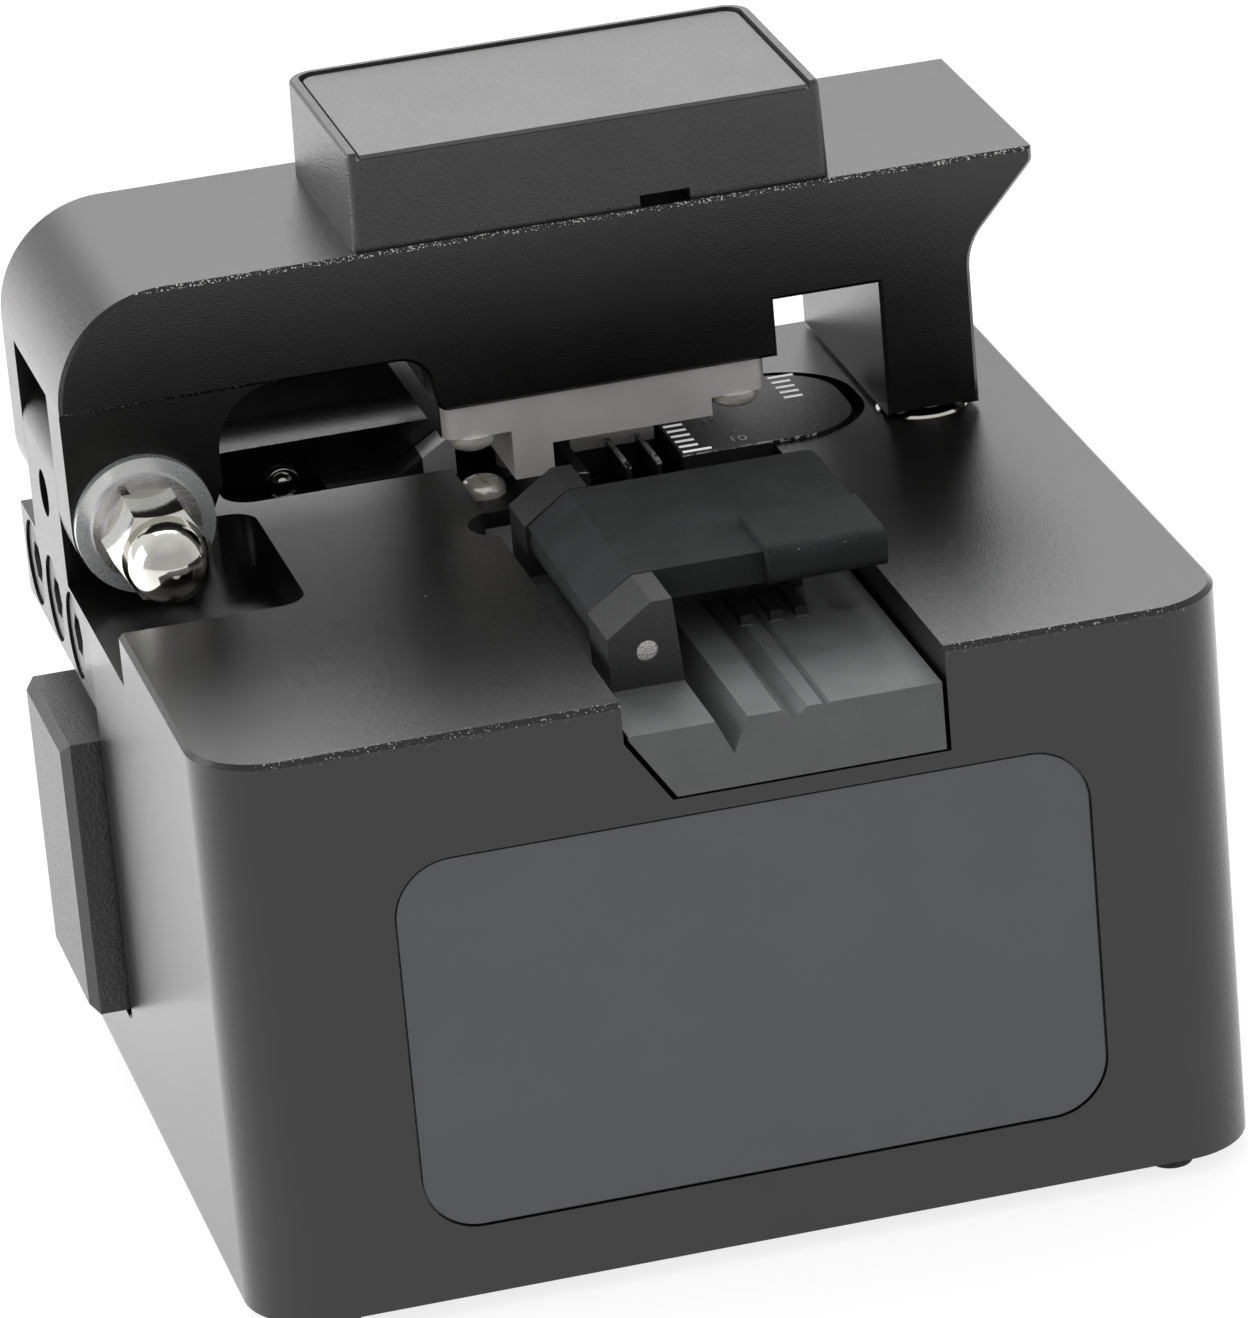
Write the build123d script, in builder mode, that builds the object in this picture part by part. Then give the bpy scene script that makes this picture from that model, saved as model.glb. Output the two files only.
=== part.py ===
"""Single fibre cleaver: a desk tool that clamps an optical fibre, scores it and snaps it."""
from build123d import *
import math
import os

os.makedirs("parts", exist_ok=True)

# Corner alignments used when a block is placed by its lowest corner
LOW = (Align.MIN, Align.MIN, Align.MIN)
LOW_2D = (Align.MIN, Align.MIN)

# Housing block
body_width = 64.0
body_depth = 60.0
body_height = 36.7
corner_radius = 5.0
edge_break = 0.3
foot_height = 1.2

# Blade carriage travel: how far each push pad stands out of its side at rest
left_pad_proud = 2.4
right_pad_proud = 7.0

# Frame: the middle of the footprint, pads included, at the feet
left = -(body_width + right_pad_proud - left_pad_proud) / 2
right = left + body_width
front = -body_depth / 2
back = front + body_depth
base_z = foot_height
deck_z = base_z + body_height

# Fits
running_gap = 0.05
slide_gap = 0.15
seat_gap = 0.1

# Hinge axis of the lever, parallel to the fibre
hinge_x = left + 4.6
hinge_z = deck_z + 1.7
hinge_pin_radius = 1.5

# Lever
lever_front = front + 38.5
lever_depth = 20.5
lever_back = lever_front + lever_depth
lever_top_z = deck_z + 17.0
web_bottom_z = deck_z + 9.5
skirt_bottom_z = deck_z + 5.7
skirt_thickness = 3.2
ear_radius = 4.6
ear_thickness = 4.4
ear_step = 0.4
ear_front = lever_front + ear_step
lever_shoulder_radius = 7.2
leg_left = left + 53.5
leg_right = left + 59.6
leg_gap = 0.35
notch_left = left + 46.5
opening_left = left + 9.6
opening_right = left + 24.2

# Hinge recess in the deck and the hinge bracket that stands in it
recess_depth = 3.5
recess_floor_z = deck_z - recess_depth
recess_front = front + 24.8
recess_right = left + 12.1
recess_shelf = front + 42.0
ear_recess_right = left + 9.8
recess_corner = 1.8
bracket_front = front + 37.2
bracket_thickness = 4.5
bracket_height = 6.2
bracket_bottom_z = recess_floor_z - bracket_height
knuckle_front = ear_front + ear_thickness + running_gap
knuckle_back = lever_back - ear_thickness - running_gap
knuckle_right = left + 9.2
knuckle_top_z = hinge_z + 4.7
knuckle_corner = 2.4

# Step milled down the back left corner, where the bracket and the left pad sit
step_depth = bracket_thickness
step_bottom_z = base_z + 5.4

# Carriage tunnel, from side to side
tunnel_front = front + 38.0
tunnel_back = front + 51.8
tunnel_bottom_z = base_z + 5.0
tunnel_top_z = deck_z - 11.9

# Pocket over the tunnel, and the blade bay that joins the two
pocket_left = left + 10.8
pocket_right = left + 47.2
pocket_front = front + 43.4
pocket_back = front + 53.2
pocket_corner = 2.0
ledge_z = deck_z - 6.7
bay_back = front + 50.6
bay_right = left + 48.2

# Fibre holder slot in the deck
slot_left = left + 25.6
slot_right = left + 45.7
slot_floor_z = deck_z - 6.7
slot_end = pocket_front
slot_bevel_top = 4.1
slot_bevel_run = 2.7
slot_relief_spot = (left + 26.4, front + 32.5)
slot_relief_radius = 2.3

# Fibre line
fibre_top_z = deck_z - 2.3
groove_xs = {"jacket": left + 32.3, "buffer": left + 36.2, "bare": left + 38.2}

# Blade
blade_radius = 8.0
blade_thickness = 1.0
blade_plane = front + 48.0
blade_x = left + 37.0
blade_rise = 0.05
blade_z = fibre_top_z + blade_rise - blade_radius

# Small screws
m3_radius = 1.5
m2_radius = 1.0


# Housing: one milled block
plate_seat_z = base_z + 1.6
panel_left = left + 10.7
panel_right = left + 54.2
panel_bottom_z = base_z + 4.5
panel_top_z = deck_z - 7.8
panel_corner = 3.7
panel_recess = 0.4
cover_margin_x = 12.5
cover_margin_y = 6.0
cover_corner = 3.0
scale_right = left + 52.0
scale_front = front + 38.2
scale_back = front + 50.2
scale_round = 4.6
scale_floor_z = deck_z - 2.2
scale_wall = 0.15
scale_clearance = 1.1
keeper_radius = 3.0
keeper_x = left + 56.4
keeper_y = front + 41.0
keeper_depth = 1.4
keeper_proud = 0.15
back_wall_left = left + 10.4
back_wall_right = left + 45.0
back_wall_front = front + 58.9
back_wall_thickness = 0.9
back_wall_height = 2.2
bracket_screw_ys = [front + 42.5, front + 49.5, front + 56.5]
bracket_screw_z = recess_floor_z - 3.1
bracket_screw_depth = 6.0
cover_screw_inset_x = 16.0
cover_screw_inset_y = 10.0
cover_screw_dx = body_width - 2 * cover_screw_inset_x
cover_screw_dy = body_depth - 2 * cover_screw_inset_y
cover_screw_depth = 3.0
cover_centre = ((left + right) / 2, (front + back) / 2)
rail_screw_dx = 36.0
rail_y = (tunnel_front + tunnel_back) / 2
rail_left = left + 8.0
rail_right = right - 12.0
rail_x = (rail_left + rail_right) / 2
rail_screw_depth = 2.4
anvil_screw_spot = (left + 27.2, front + 41.9)
rear_anvil_screw_spots = [(left + 31.6, front + 51.75), (left + 43.2, front + 51.75)]
anvil_screw_depth = 4.0
stud_x = left + 16.2
stud_z = deck_z - 2.7
stud_radius = 1.2
stud_depth = 3.0

with BuildPart() as main_housing:
    with BuildSketch(Plane.XY.offset(base_z)):
        with Locations(cover_centre):
            RectangleRounded(body_width, body_depth, corner_radius)
    extrude(amount=body_height)
    chamfer(main_housing.faces().sort_by(Axis.Z)[-1].edges(), edge_break)
    # Low wall along the back edge, under the lever
    with Locations((back_wall_left, back_wall_front, deck_z)):
        Box(back_wall_right - back_wall_left, back_wall_thickness, back_wall_height, align=LOW)
    # Step for the hinge bracket and the left pad
    with Locations((left, bracket_front, step_bottom_z)):
        Box(step_depth, back - bracket_front, recess_floor_z - step_bottom_z, align=LOW, mode=Mode.SUBTRACT)
    # Hinge recess: a wide front part and a narrow part under the ears
    with BuildSketch(Plane.XY.offset(recess_floor_z)):
        with BuildLine():
            Polyline(
                (left - 1, recess_front),
                (recess_right, recess_front),
                (recess_right, recess_shelf),
                (ear_recess_right, recess_shelf),
                (ear_recess_right, back + 1),
                (left - 1, back + 1),
                close=True,
            )
        make_face()
        wide_corners = vertices().filter_by_position(Axis.X, recess_right - 0.01, recess_right + 0.01)
        fillet(wide_corners, recess_corner)
    extrude(amount=recess_depth, mode=Mode.SUBTRACT)
    # Carriage tunnel from side to side
    with Locations((left, tunnel_front, tunnel_bottom_z)):
        Box(
            body_width,
            tunnel_back - tunnel_front,
            tunnel_top_z - tunnel_bottom_z,
            align=LOW,
            mode=Mode.SUBTRACT,
        )
    # Pocket under the lever: deep over the tunnel, with a ledge at its back
    with BuildSketch(Plane.XY.offset(ledge_z)):
        with Locations(((pocket_left + pocket_right) / 2, (pocket_front + pocket_back) / 2)):
            RectangleRounded(pocket_right - pocket_left, pocket_back - pocket_front, pocket_corner)
    extrude(amount=deck_z - ledge_z, mode=Mode.SUBTRACT)
    with Locations((pocket_left + pocket_corner, pocket_front, tunnel_top_z)):
        Box(
            bay_right - pocket_left - pocket_corner,
            bay_back - pocket_front,
            ledge_z - tunnel_top_z,
            align=LOW,
            mode=Mode.SUBTRACT,
        )
    # Fibre holder slot, bevelled at its lower left corner
    with BuildSketch(Plane.XZ.offset(-front + 1)):
        with BuildLine():
            Polyline(
                (slot_left, deck_z + 1),
                (slot_left, slot_floor_z + slot_bevel_top),
                (slot_left + slot_bevel_run, slot_floor_z),
                (slot_right, slot_floor_z),
                (slot_right, deck_z + 1),
                close=True,
            )
        make_face()
    extrude(amount=-(slot_end - front + 2), mode=Mode.SUBTRACT)
    # Round relief in the slot's left edge
    with BuildSketch(Plane.XY.offset(slot_floor_z + slot_bevel_top)):
        with Locations(slot_relief_spot):
            Circle(slot_relief_radius)
    extrude(amount=deck_z - slot_floor_z - slot_bevel_top, mode=Mode.SUBTRACT)
    # Shallow seat for the scale plate, round at its right end
    with BuildSketch(Plane.XY.offset(scale_floor_z)):
        with BuildLine():
            Polyline(
                (slot_right - 1, scale_front - scale_wall),
                (scale_right + scale_clearance, scale_front - scale_wall),
                (scale_right + scale_clearance, scale_back + scale_clearance),
                (slot_right - 1, scale_back + scale_clearance),
                close=True,
            )
        make_face()
        right_corners = vertices().sort_by(Axis.X)[-2:]
        fillet(right_corners, scale_round + scale_clearance)
    extrude(amount=deck_z - scale_floor_z, mode=Mode.SUBTRACT)
    # Keeper disc seat
    with Locations((keeper_x, keeper_y, deck_z)):
        Hole(keeper_radius + running_gap, keeper_depth)
    # Front panel recess
    with BuildSketch(Plane.XZ.offset(-front)):
        with Locations(((panel_left + panel_right) / 2, (panel_bottom_z + panel_top_z) / 2)):
            RectangleRounded(panel_right - panel_left, panel_top_z - panel_bottom_z, panel_corner)
    extrude(amount=-panel_recess, mode=Mode.SUBTRACT)
    # Bottom cover recess and its screw holes
    with BuildSketch(Plane.XY.offset(base_z)):
        with Locations(cover_centre):
            RectangleRounded(body_width - 2 * cover_margin_x, body_depth - 2 * cover_margin_y, cover_corner)
    extrude(amount=plate_seat_z - base_z, mode=Mode.SUBTRACT)
    with BuildSketch(Plane.XY.offset(plate_seat_z)):
        with Locations(cover_centre):
            with GridLocations(cover_screw_dx, cover_screw_dy, 2, 2):
                Circle(m2_radius + running_gap)
    extrude(amount=cover_screw_depth, mode=Mode.SUBTRACT)
    # Bracket screw holes
    with BuildSketch(Plane.YZ.offset(left + step_depth)):
        with Locations(*[(y, bracket_screw_z) for y in bracket_screw_ys]):
            Circle(m3_radius + running_gap)
    extrude(amount=bracket_screw_depth, mode=Mode.SUBTRACT)
    # Holes for the anvil screws and the stud
    with BuildSketch(Plane.XY.offset(slot_floor_z - anvil_screw_depth)):
        with Locations(anvil_screw_spot, *rear_anvil_screw_spots):
            Circle(m2_radius + running_gap)
    extrude(amount=anvil_screw_depth + slot_bevel_top, mode=Mode.SUBTRACT)
    with BuildSketch(Plane.XZ.offset(-pocket_back)):
        with Locations((stud_x, stud_z)):
            Circle(stud_radius)
    extrude(amount=-stud_depth, mode=Mode.SUBTRACT)
    # Rail screw holes in the tunnel floor
    with BuildSketch(Plane.XY.offset(tunnel_bottom_z)):
        with Locations((rail_x - rail_screw_dx / 2, rail_y), (rail_x + rail_screw_dx / 2, rail_y)):
            Circle(m2_radius + running_gap)
    extrude(amount=-rail_screw_depth, mode=Mode.SUBTRACT)
main_housing.part.label = "main_housing"
export_step(main_housing.part, "parts/main_housing.step")


# Bare plate let into the front face
panel_gap = 0.15
panel_thickness = 0.3

with BuildPart() as front_panel:
    with BuildSketch(Plane.XZ.offset(-(front + panel_recess))):
        with Locations(((panel_left + panel_right) / 2, (panel_bottom_z + panel_top_z) / 2)):
            RectangleRounded(
                panel_right - panel_left - 2 * panel_gap,
                panel_top_z - panel_bottom_z - 2 * panel_gap,
                panel_corner - panel_gap,
            )
    extrude(amount=panel_thickness)
front_panel.part.label = "front_panel"
export_step(front_panel.part, "parts/front_panel.step")


# Bottom cover, held by four countersunk screws
csk_head_radius = 1.9
underside = Plane(origin=(cover_centre[0], cover_centre[1], base_z), x_dir=(1, 0, 0), z_dir=(0, 0, -1))

with BuildPart() as bottom_cover:
    with BuildSketch(Plane.XY.offset(base_z)):
        with Locations(cover_centre):
            RectangleRounded(
                body_width - 2 * (cover_margin_x + slide_gap),
                body_depth - 2 * (cover_margin_y + slide_gap),
                cover_corner - slide_gap,
            )
    extrude(amount=plate_seat_z - base_z)
    with Locations(underside):
        with GridLocations(cover_screw_dx, cover_screw_dy, 2, 2):
            CounterSinkHole(m2_radius + running_gap, csk_head_radius + running_gap)
bottom_cover.part.label = "bottom_cover"
export_step(bottom_cover.part, "parts/bottom_cover.step")

# A countersunk screw, head down, with its face at the origin
csk_length = 4.0
drive_radius = 1.0
drive_slot = 0.35
drive_depth = 0.6

with BuildPart() as csk_screw_shape:
    with BuildSketch(Plane.XZ):
        with BuildLine():
            Polyline(
                (0, 0),
                (csk_head_radius, 0),
                (m2_radius, csk_head_radius - m2_radius),
                (m2_radius, csk_length),
                (0, csk_length),
                close=True,
            )
        make_face()
    revolve(axis=Axis.Z)
    with BuildSketch(Plane.XY):
        Rectangle(2 * drive_radius, drive_slot)
        Rectangle(drive_slot, 2 * drive_radius)
    extrude(amount=drive_depth, mode=Mode.SUBTRACT)

with BuildPart() as bottom_cover_screws:
    with Locations((cover_centre[0], cover_centre[1], base_z)):
        with GridLocations(cover_screw_dx, cover_screw_dy, 2, 2):
            add(csk_screw_shape.part)
bottom_cover_screws.part.label = "bottom_cover_screws"
export_step(bottom_cover_screws.part, "parts/bottom_cover_screws.step")


# Four rubber feet under the corners
foot_radius = 4.0
foot_inset = 7.5
foot_edge = 0.4

with BuildPart() as rubber_feet:
    with Locations((cover_centre[0], cover_centre[1], 0)):
        with GridLocations(body_width - 2 * foot_inset, body_depth - 2 * foot_inset, 2, 2):
            Cylinder(foot_radius, foot_height, align=(Align.CENTER, Align.CENTER, Align.MIN))
    fillet(rubber_feet.faces().group_by(Axis.Z)[0].edges(), foot_edge)
rubber_feet.part.label = "rubber_feet"
export_step(rubber_feet.part, "parts/rubber_feet.step")


# Hinge bracket: a plate screwed to the left side, with the knuckle standing on it
socket_head_radius = 2.75
socket_head_height = 3.0
socket_af = 2.5
socket_depth = 1.6
counterbore_depth = 3.2
grub_radius = 1.5
grub_z = hinge_z - 0.8
grub_recess = 0.6
knuckle_mid_y = (knuckle_front + knuckle_back) / 2
left_side = Plane.YZ.offset(left)

with BuildPart() as hinge_bracket:
    with Locations((left, bracket_front, bracket_bottom_z)):
        Box(bracket_thickness, back - bracket_front, bracket_height, align=LOW)
    with BuildSketch(Plane.XZ.offset(-knuckle_front)):
        with Locations((left, recess_floor_z)):
            Rectangle(knuckle_right - left, knuckle_top_z - recess_floor_z, align=LOW_2D)
        fillet(vertices().group_by(Axis.Y)[-1], knuckle_corner)
    extrude(amount=-(knuckle_back - knuckle_front))
    with BuildSketch(Plane.XZ.offset(-knuckle_front)):
        with Locations((hinge_x, hinge_z)):
            Circle(hinge_pin_radius + running_gap)
    extrude(amount=-(knuckle_back - knuckle_front), mode=Mode.SUBTRACT)
    with BuildSketch(left_side):
        with Locations((knuckle_mid_y, grub_z)):
            Circle(grub_radius + running_gap)
    extrude(amount=hinge_x - left, mode=Mode.SUBTRACT)
    with BuildSketch(left_side):
        with Locations(*[(y, bracket_screw_z) for y in bracket_screw_ys]):
            Circle(m3_radius + running_gap)
    extrude(amount=bracket_thickness, mode=Mode.SUBTRACT)
    with BuildSketch(left_side):
        with Locations(*[(y, bracket_screw_z) for y in bracket_screw_ys]):
            Circle(socket_head_radius + seat_gap)
    extrude(amount=counterbore_depth, mode=Mode.SUBTRACT)
hinge_bracket.part.label = "hinge_bracket"
export_step(hinge_bracket.part, "parts/hinge_bracket.step")

# Three socket head screws hold the bracket
with BuildPart() as bracket_screws:
    with BuildSketch(left_side.offset(counterbore_depth)):
        with Locations(*[(y, bracket_screw_z) for y in bracket_screw_ys]):
            Circle(socket_head_radius)
    extrude(amount=-socket_head_height)
    with BuildSketch(left_side.offset(counterbore_depth)):
        with Locations(*[(y, bracket_screw_z) for y in bracket_screw_ys]):
            Circle(m3_radius)
    extrude(amount=bracket_thickness - counterbore_depth + bracket_screw_depth - seat_gap)
    with BuildSketch(left_side.offset(counterbore_depth - socket_head_height)):
        with Locations(*[(y, bracket_screw_z) for y in bracket_screw_ys]):
            RegularPolygon(socket_af / 2, 6, major_radius=False)
    extrude(amount=socket_depth, mode=Mode.SUBTRACT)
bracket_screws.part.label = "bracket_screws"
export_step(bracket_screws.part, "parts/bracket_screws.step")

# Grub screw that locks the hinge pin in the knuckle
grub_af = 1.5
grub_socket_depth = 1.2

with BuildPart() as hinge_grub_screw:
    with BuildSketch(left_side.offset(grub_recess)):
        with Locations((knuckle_mid_y, grub_z)):
            Circle(grub_radius)
    extrude(amount=hinge_x - left - hinge_pin_radius - grub_recess - running_gap)
    with BuildSketch(left_side.offset(grub_recess)):
        with Locations((knuckle_mid_y, grub_z)):
            RegularPolygon(grub_af / 2, 6, major_radius=False)
    extrude(amount=grub_socket_depth, mode=Mode.SUBTRACT)
hinge_grub_screw.part.label = "hinge_grub_screw"
export_step(hinge_grub_screw.part, "parts/hinge_grub_screw.step")


# Hinge hardware, front to back: cap nut, jam nut, spring washer, two washers, pin
washer_radius = 4.5
washer_thickness = 0.8
small_washer_radius = 3.5
small_washer_thickness = 0.5
spring_washer_radius = 2.9
spring_washer_thickness = 0.9
nut_af = 5.5
jam_nut_height = 2.2
cap_hex_height = 2.5
cap_dome_radius = 2.55
cap_height = 6.0
pin_hole_radius = hinge_pin_radius + running_gap
washer_back = ear_front - running_gap
small_washer_back = washer_back - washer_thickness
spring_washer_back = small_washer_back - small_washer_thickness
jam_nut_back = spring_washer_back - spring_washer_thickness
cap_back = jam_nut_back - jam_nut_height
pin_front = cap_back - cap_hex_height
head_seat_depth = 3.3
pin_head_front = lever_back - head_seat_depth + running_gap
pin_back = pin_head_front + socket_head_height

with BuildPart() as hinge_pin:
    with BuildSketch(Plane.XZ.offset(-pin_front)):
        with Locations((hinge_x, hinge_z)):
            Circle(hinge_pin_radius)
    extrude(amount=-(pin_head_front - pin_front))
    with BuildSketch(Plane.XZ.offset(-pin_head_front)):
        with Locations((hinge_x, hinge_z)):
            Circle(socket_head_radius)
    extrude(amount=-socket_head_height)
    with BuildSketch(Plane.XZ.offset(-pin_back)):
        with Locations((hinge_x, hinge_z)):
            RegularPolygon(socket_af / 2, 6, major_radius=False)
    extrude(amount=socket_depth, mode=Mode.SUBTRACT)
hinge_pin.part.label = "hinge_pin"
export_step(hinge_pin.part, "parts/hinge_pin.step")

with BuildPart() as hinge_washer:
    with BuildSketch(Plane.XZ.offset(-washer_back)):
        with Locations((hinge_x, hinge_z)):
            Circle(washer_radius)
            Circle(pin_hole_radius, mode=Mode.SUBTRACT)
    extrude(amount=washer_thickness)
hinge_washer.part.label = "hinge_washer"
export_step(hinge_washer.part, "parts/hinge_washer.step")

with BuildPart() as small_washer:
    with BuildSketch(Plane.XZ.offset(-small_washer_back)):
        with Locations((hinge_x, hinge_z)):
            Circle(small_washer_radius)
            Circle(pin_hole_radius, mode=Mode.SUBTRACT)
    extrude(amount=small_washer_thickness)
small_washer.part.label = "small_washer"
export_step(small_washer.part, "parts/small_washer.step")

split_width = 0.5
split_angle = 25
with BuildPart() as spring_washer:
    with BuildSketch(Plane.XZ.offset(-spring_washer_back)):
        with Locations((hinge_x, hinge_z)):
            Circle(spring_washer_radius)
            Circle(pin_hole_radius, mode=Mode.SUBTRACT)
            Rectangle(
                split_width,
                spring_washer_radius + 1,
                rotation=split_angle,
                align=(Align.CENTER, Align.MIN),
                mode=Mode.SUBTRACT,
            )
    extrude(amount=spring_washer_thickness)
spring_washer.part.label = "spring_washer"
export_step(spring_washer.part, "parts/spring_washer.step")

with BuildPart() as jam_nut:
    with BuildSketch(Plane.XZ.offset(-jam_nut_back)):
        with Locations((hinge_x, hinge_z)):
            RegularPolygon(nut_af / 2, 6, major_radius=False)
            Circle(pin_hole_radius, mode=Mode.SUBTRACT)
    extrude(amount=jam_nut_height)
jam_nut.part.label = "jam_nut"
export_step(jam_nut.part, "parts/jam_nut.step")

# Cap nut: hexagon with its corners turned off, then the dome, with a blind hole
hex_corner_radius = nut_af / math.sqrt(3)
corner_slope = 0.55
cap_axis = Axis((hinge_x, cap_back, hinge_z), (0, 1, 0))
dome_start = cap_back - cap_height + cap_dome_radius

with BuildPart() as cap_nut:
    with BuildSketch(Plane.XZ.offset(-cap_back)):
        with Locations((hinge_x, hinge_z)):
            RegularPolygon(nut_af / 2, 6, major_radius=False)
    extrude(amount=cap_hex_height)
    with BuildSketch(Plane.XY.offset(hinge_z)):
        with BuildLine():
            Polyline(
                (hinge_x, cap_back),
                (hinge_x + hex_corner_radius - corner_slope / 2, cap_back),
                (hinge_x + hex_corner_radius, cap_back - corner_slope / 2),
                (hinge_x + hex_corner_radius, cap_back - cap_hex_height + corner_slope),
                (hinge_x + nut_af / 2, cap_back - cap_hex_height),
                (hinge_x, cap_back - cap_hex_height),
                close=True,
            )
        make_face()
    revolve(axis=cap_axis, mode=Mode.INTERSECT)
    with BuildSketch(Plane.XY.offset(hinge_z)):
        with BuildLine():
            Line((hinge_x, cap_back - 1), (hinge_x + cap_dome_radius, cap_back - 1))
            Line((hinge_x + cap_dome_radius, cap_back - 1), (hinge_x + cap_dome_radius, dome_start))
            RadiusArc(
                (hinge_x + cap_dome_radius, dome_start),
                (hinge_x, dome_start - cap_dome_radius),
                cap_dome_radius,
            )
            Line((hinge_x, dome_start - cap_dome_radius), (hinge_x, cap_back - 1))
        make_face()
    revolve(axis=cap_axis)
    with BuildSketch(Plane.XZ.offset(-cap_back)):
        with Locations((hinge_x, hinge_z)):
            Circle(pin_hole_radius)
    extrude(amount=cap_hex_height + seat_gap, mode=Mode.SUBTRACT)
cap_nut.part.label = "cap_nut"
export_step(cap_nut.part, "parts/cap_nut.step")


# Lever: web and leg over the full depth, two skirts, two hinge ears
nose_x = right + 0.2
nose_drop = 1.0
nose_edge = 0.7
hook_z = web_bottom_z + 1.5
hook_round = 4.0
leg_bottom_z = deck_z + leg_gap
ear_right = left + 9.9
ear_flare = 1.5
ear_blend = 4.2
skirt_left_top = left + 23.5
skirt_blend = 2.0
notch_round = 0.8
lever_edge = 0.25
magnet_radius = 2.5
magnet_height = 2.5
magnet_recess = 0.2
clamp_screw_xs = (left + 26.4, left + 43.8)
clamp_screw_ys = (front + 40.3, front + 57.3)
clamp_thread_depth = 4.0

with BuildPart() as lever_arm:
    with BuildSketch(Plane.XZ.offset(-lever_front)):
        with BuildLine():
            Polyline(
                (left, web_bottom_z),
                (left, lever_top_z),
                (nose_x, lever_top_z),
                (nose_x, lever_top_z - nose_drop),
                (leg_right, hook_z),
                (leg_right, leg_bottom_z),
                (leg_left, leg_bottom_z),
                (leg_left, web_bottom_z),
                close=True,
            )
        make_face()
        fillet(vertices().sort_by_distance((left, lever_top_z))[0], lever_shoulder_radius)
        fillet(vertices().sort_by_distance((leg_right, hook_z))[0], hook_round)
        fillet(vertices().sort_by_distance((nose_x, lever_top_z - nose_drop))[0], nose_edge)
    extrude(amount=-lever_depth)
    for skirt_front in (lever_front, lever_back - skirt_thickness):
        with BuildSketch(Plane.XZ.offset(-skirt_front)):
            with BuildLine():
                Polyline(
                    (opening_right, skirt_bottom_z),
                    (notch_left, skirt_bottom_z),
                    (notch_left, web_bottom_z),
                    (skirt_left_top, web_bottom_z),
                    close=True,
                )
            make_face()
            fillet(vertices().sort_by_distance((opening_right, skirt_bottom_z))[0], notch_round)
        extrude(amount=-skirt_thickness)
    for ear_y in (ear_front, lever_back - ear_thickness):
        with BuildSketch(Plane.XZ.offset(-ear_y)):
            with Locations((hinge_x, hinge_z)):
                Circle(ear_radius)
            with BuildLine():
                Polyline(
                    (left, hinge_z),
                    (left, web_bottom_z),
                    (ear_right, web_bottom_z),
                    (ear_right, hinge_z + ear_flare),
                    (hinge_x + ear_radius, hinge_z),
                    close=True,
                )
            make_face()
        extrude(amount=-ear_thickness)
    ear_corners = [
        edge for edge in lever_arm.edges().filter_by(Axis.Y)
        if abs(edge.center().X - ear_right) < 0.01 and abs(edge.center().Z - web_bottom_z) < 0.01
    ]
    fillet(ear_corners, ear_blend)
    skirt_corners = [
        edge for edge in lever_arm.edges().filter_by(Axis.Y)
        if abs(edge.center().X - skirt_left_top) < 0.01 and abs(edge.center().Z - web_bottom_z) < 0.01
    ]
    fillet(skirt_corners, skirt_blend)
    outer_faces = lever_arm.faces().filter_by(Axis.Y).sort_by(Axis.Y)
    chamfer(outer_faces[0].edges() + outer_faces[-1].edges(), lever_edge)
    # Hinge bore, with a seat for the pin head in the rear ear
    with BuildSketch(Plane.XZ.offset(-lever_front)):
        with Locations((hinge_x, hinge_z)):
            Circle(pin_hole_radius)
    extrude(amount=-lever_depth, mode=Mode.SUBTRACT)
    with BuildSketch(Plane.XZ.offset(-lever_back)):
        with Locations((hinge_x, hinge_z)):
            Circle(socket_head_radius + seat_gap)
    extrude(amount=head_seat_depth, mode=Mode.SUBTRACT)
    # Magnet seat in the foot of the leg, threads for the clamp plate
    with BuildSketch(Plane.XY.offset(leg_bottom_z)):
        with Locations((keeper_x, keeper_y)):
            Circle(magnet_radius)
    extrude(amount=magnet_recess + magnet_height, mode=Mode.SUBTRACT)
    with BuildSketch(Plane.XY.offset(skirt_bottom_z)):
        with Locations(*[(x, y) for x in clamp_screw_xs for y in clamp_screw_ys]):
            Circle(m2_radius + running_gap)
    extrude(amount=clamp_thread_depth, mode=Mode.SUBTRACT)
lever_arm.part.label = "lever_arm"
export_step(lever_arm.part, "parts/lever_arm.step")

with BuildPart() as lever_magnet:
    with BuildSketch(Plane.XY.offset(leg_bottom_z + magnet_recess)):
        with Locations((keeper_x, keeper_y)):
            Circle(magnet_radius)
    extrude(amount=magnet_height)
lever_magnet.part.label = "lever_magnet"
export_step(lever_magnet.part, "parts/lever_magnet.step")

# Steel disc in the deck that the magnet holds on to
with BuildPart() as keeper_disc:
    with BuildSketch(Plane.XY.offset(deck_z - keeper_depth)):
        with Locations((keeper_x, keeper_y)):
            Circle(keeper_radius)
    extrude(amount=keeper_depth + keeper_proud)
    chamfer(keeper_disc.faces().sort_by(Axis.Z)[-1].edges(), keeper_proud)
keeper_disc.part.label = "keeper_disc"
export_step(keeper_disc.part, "parts/keeper_disc.step")


# Thumb cover on the lever, with a raised rim on three sides
cover_left = left + 19.8
cover_right = left + 51.0
cover_front = front + 39.2
cover_back = front + 58.0
cover_height = 6.4
cover_draft = 1.5
cover_back_corner = 2.0
cover_front_corner = 0.6
cover_edge = 0.3
rim_width = 0.8
rim_height = 0.5
foot_notch_left = left + 38.5
foot_notch_width = 3.3
foot_notch_height = 0.7

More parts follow.
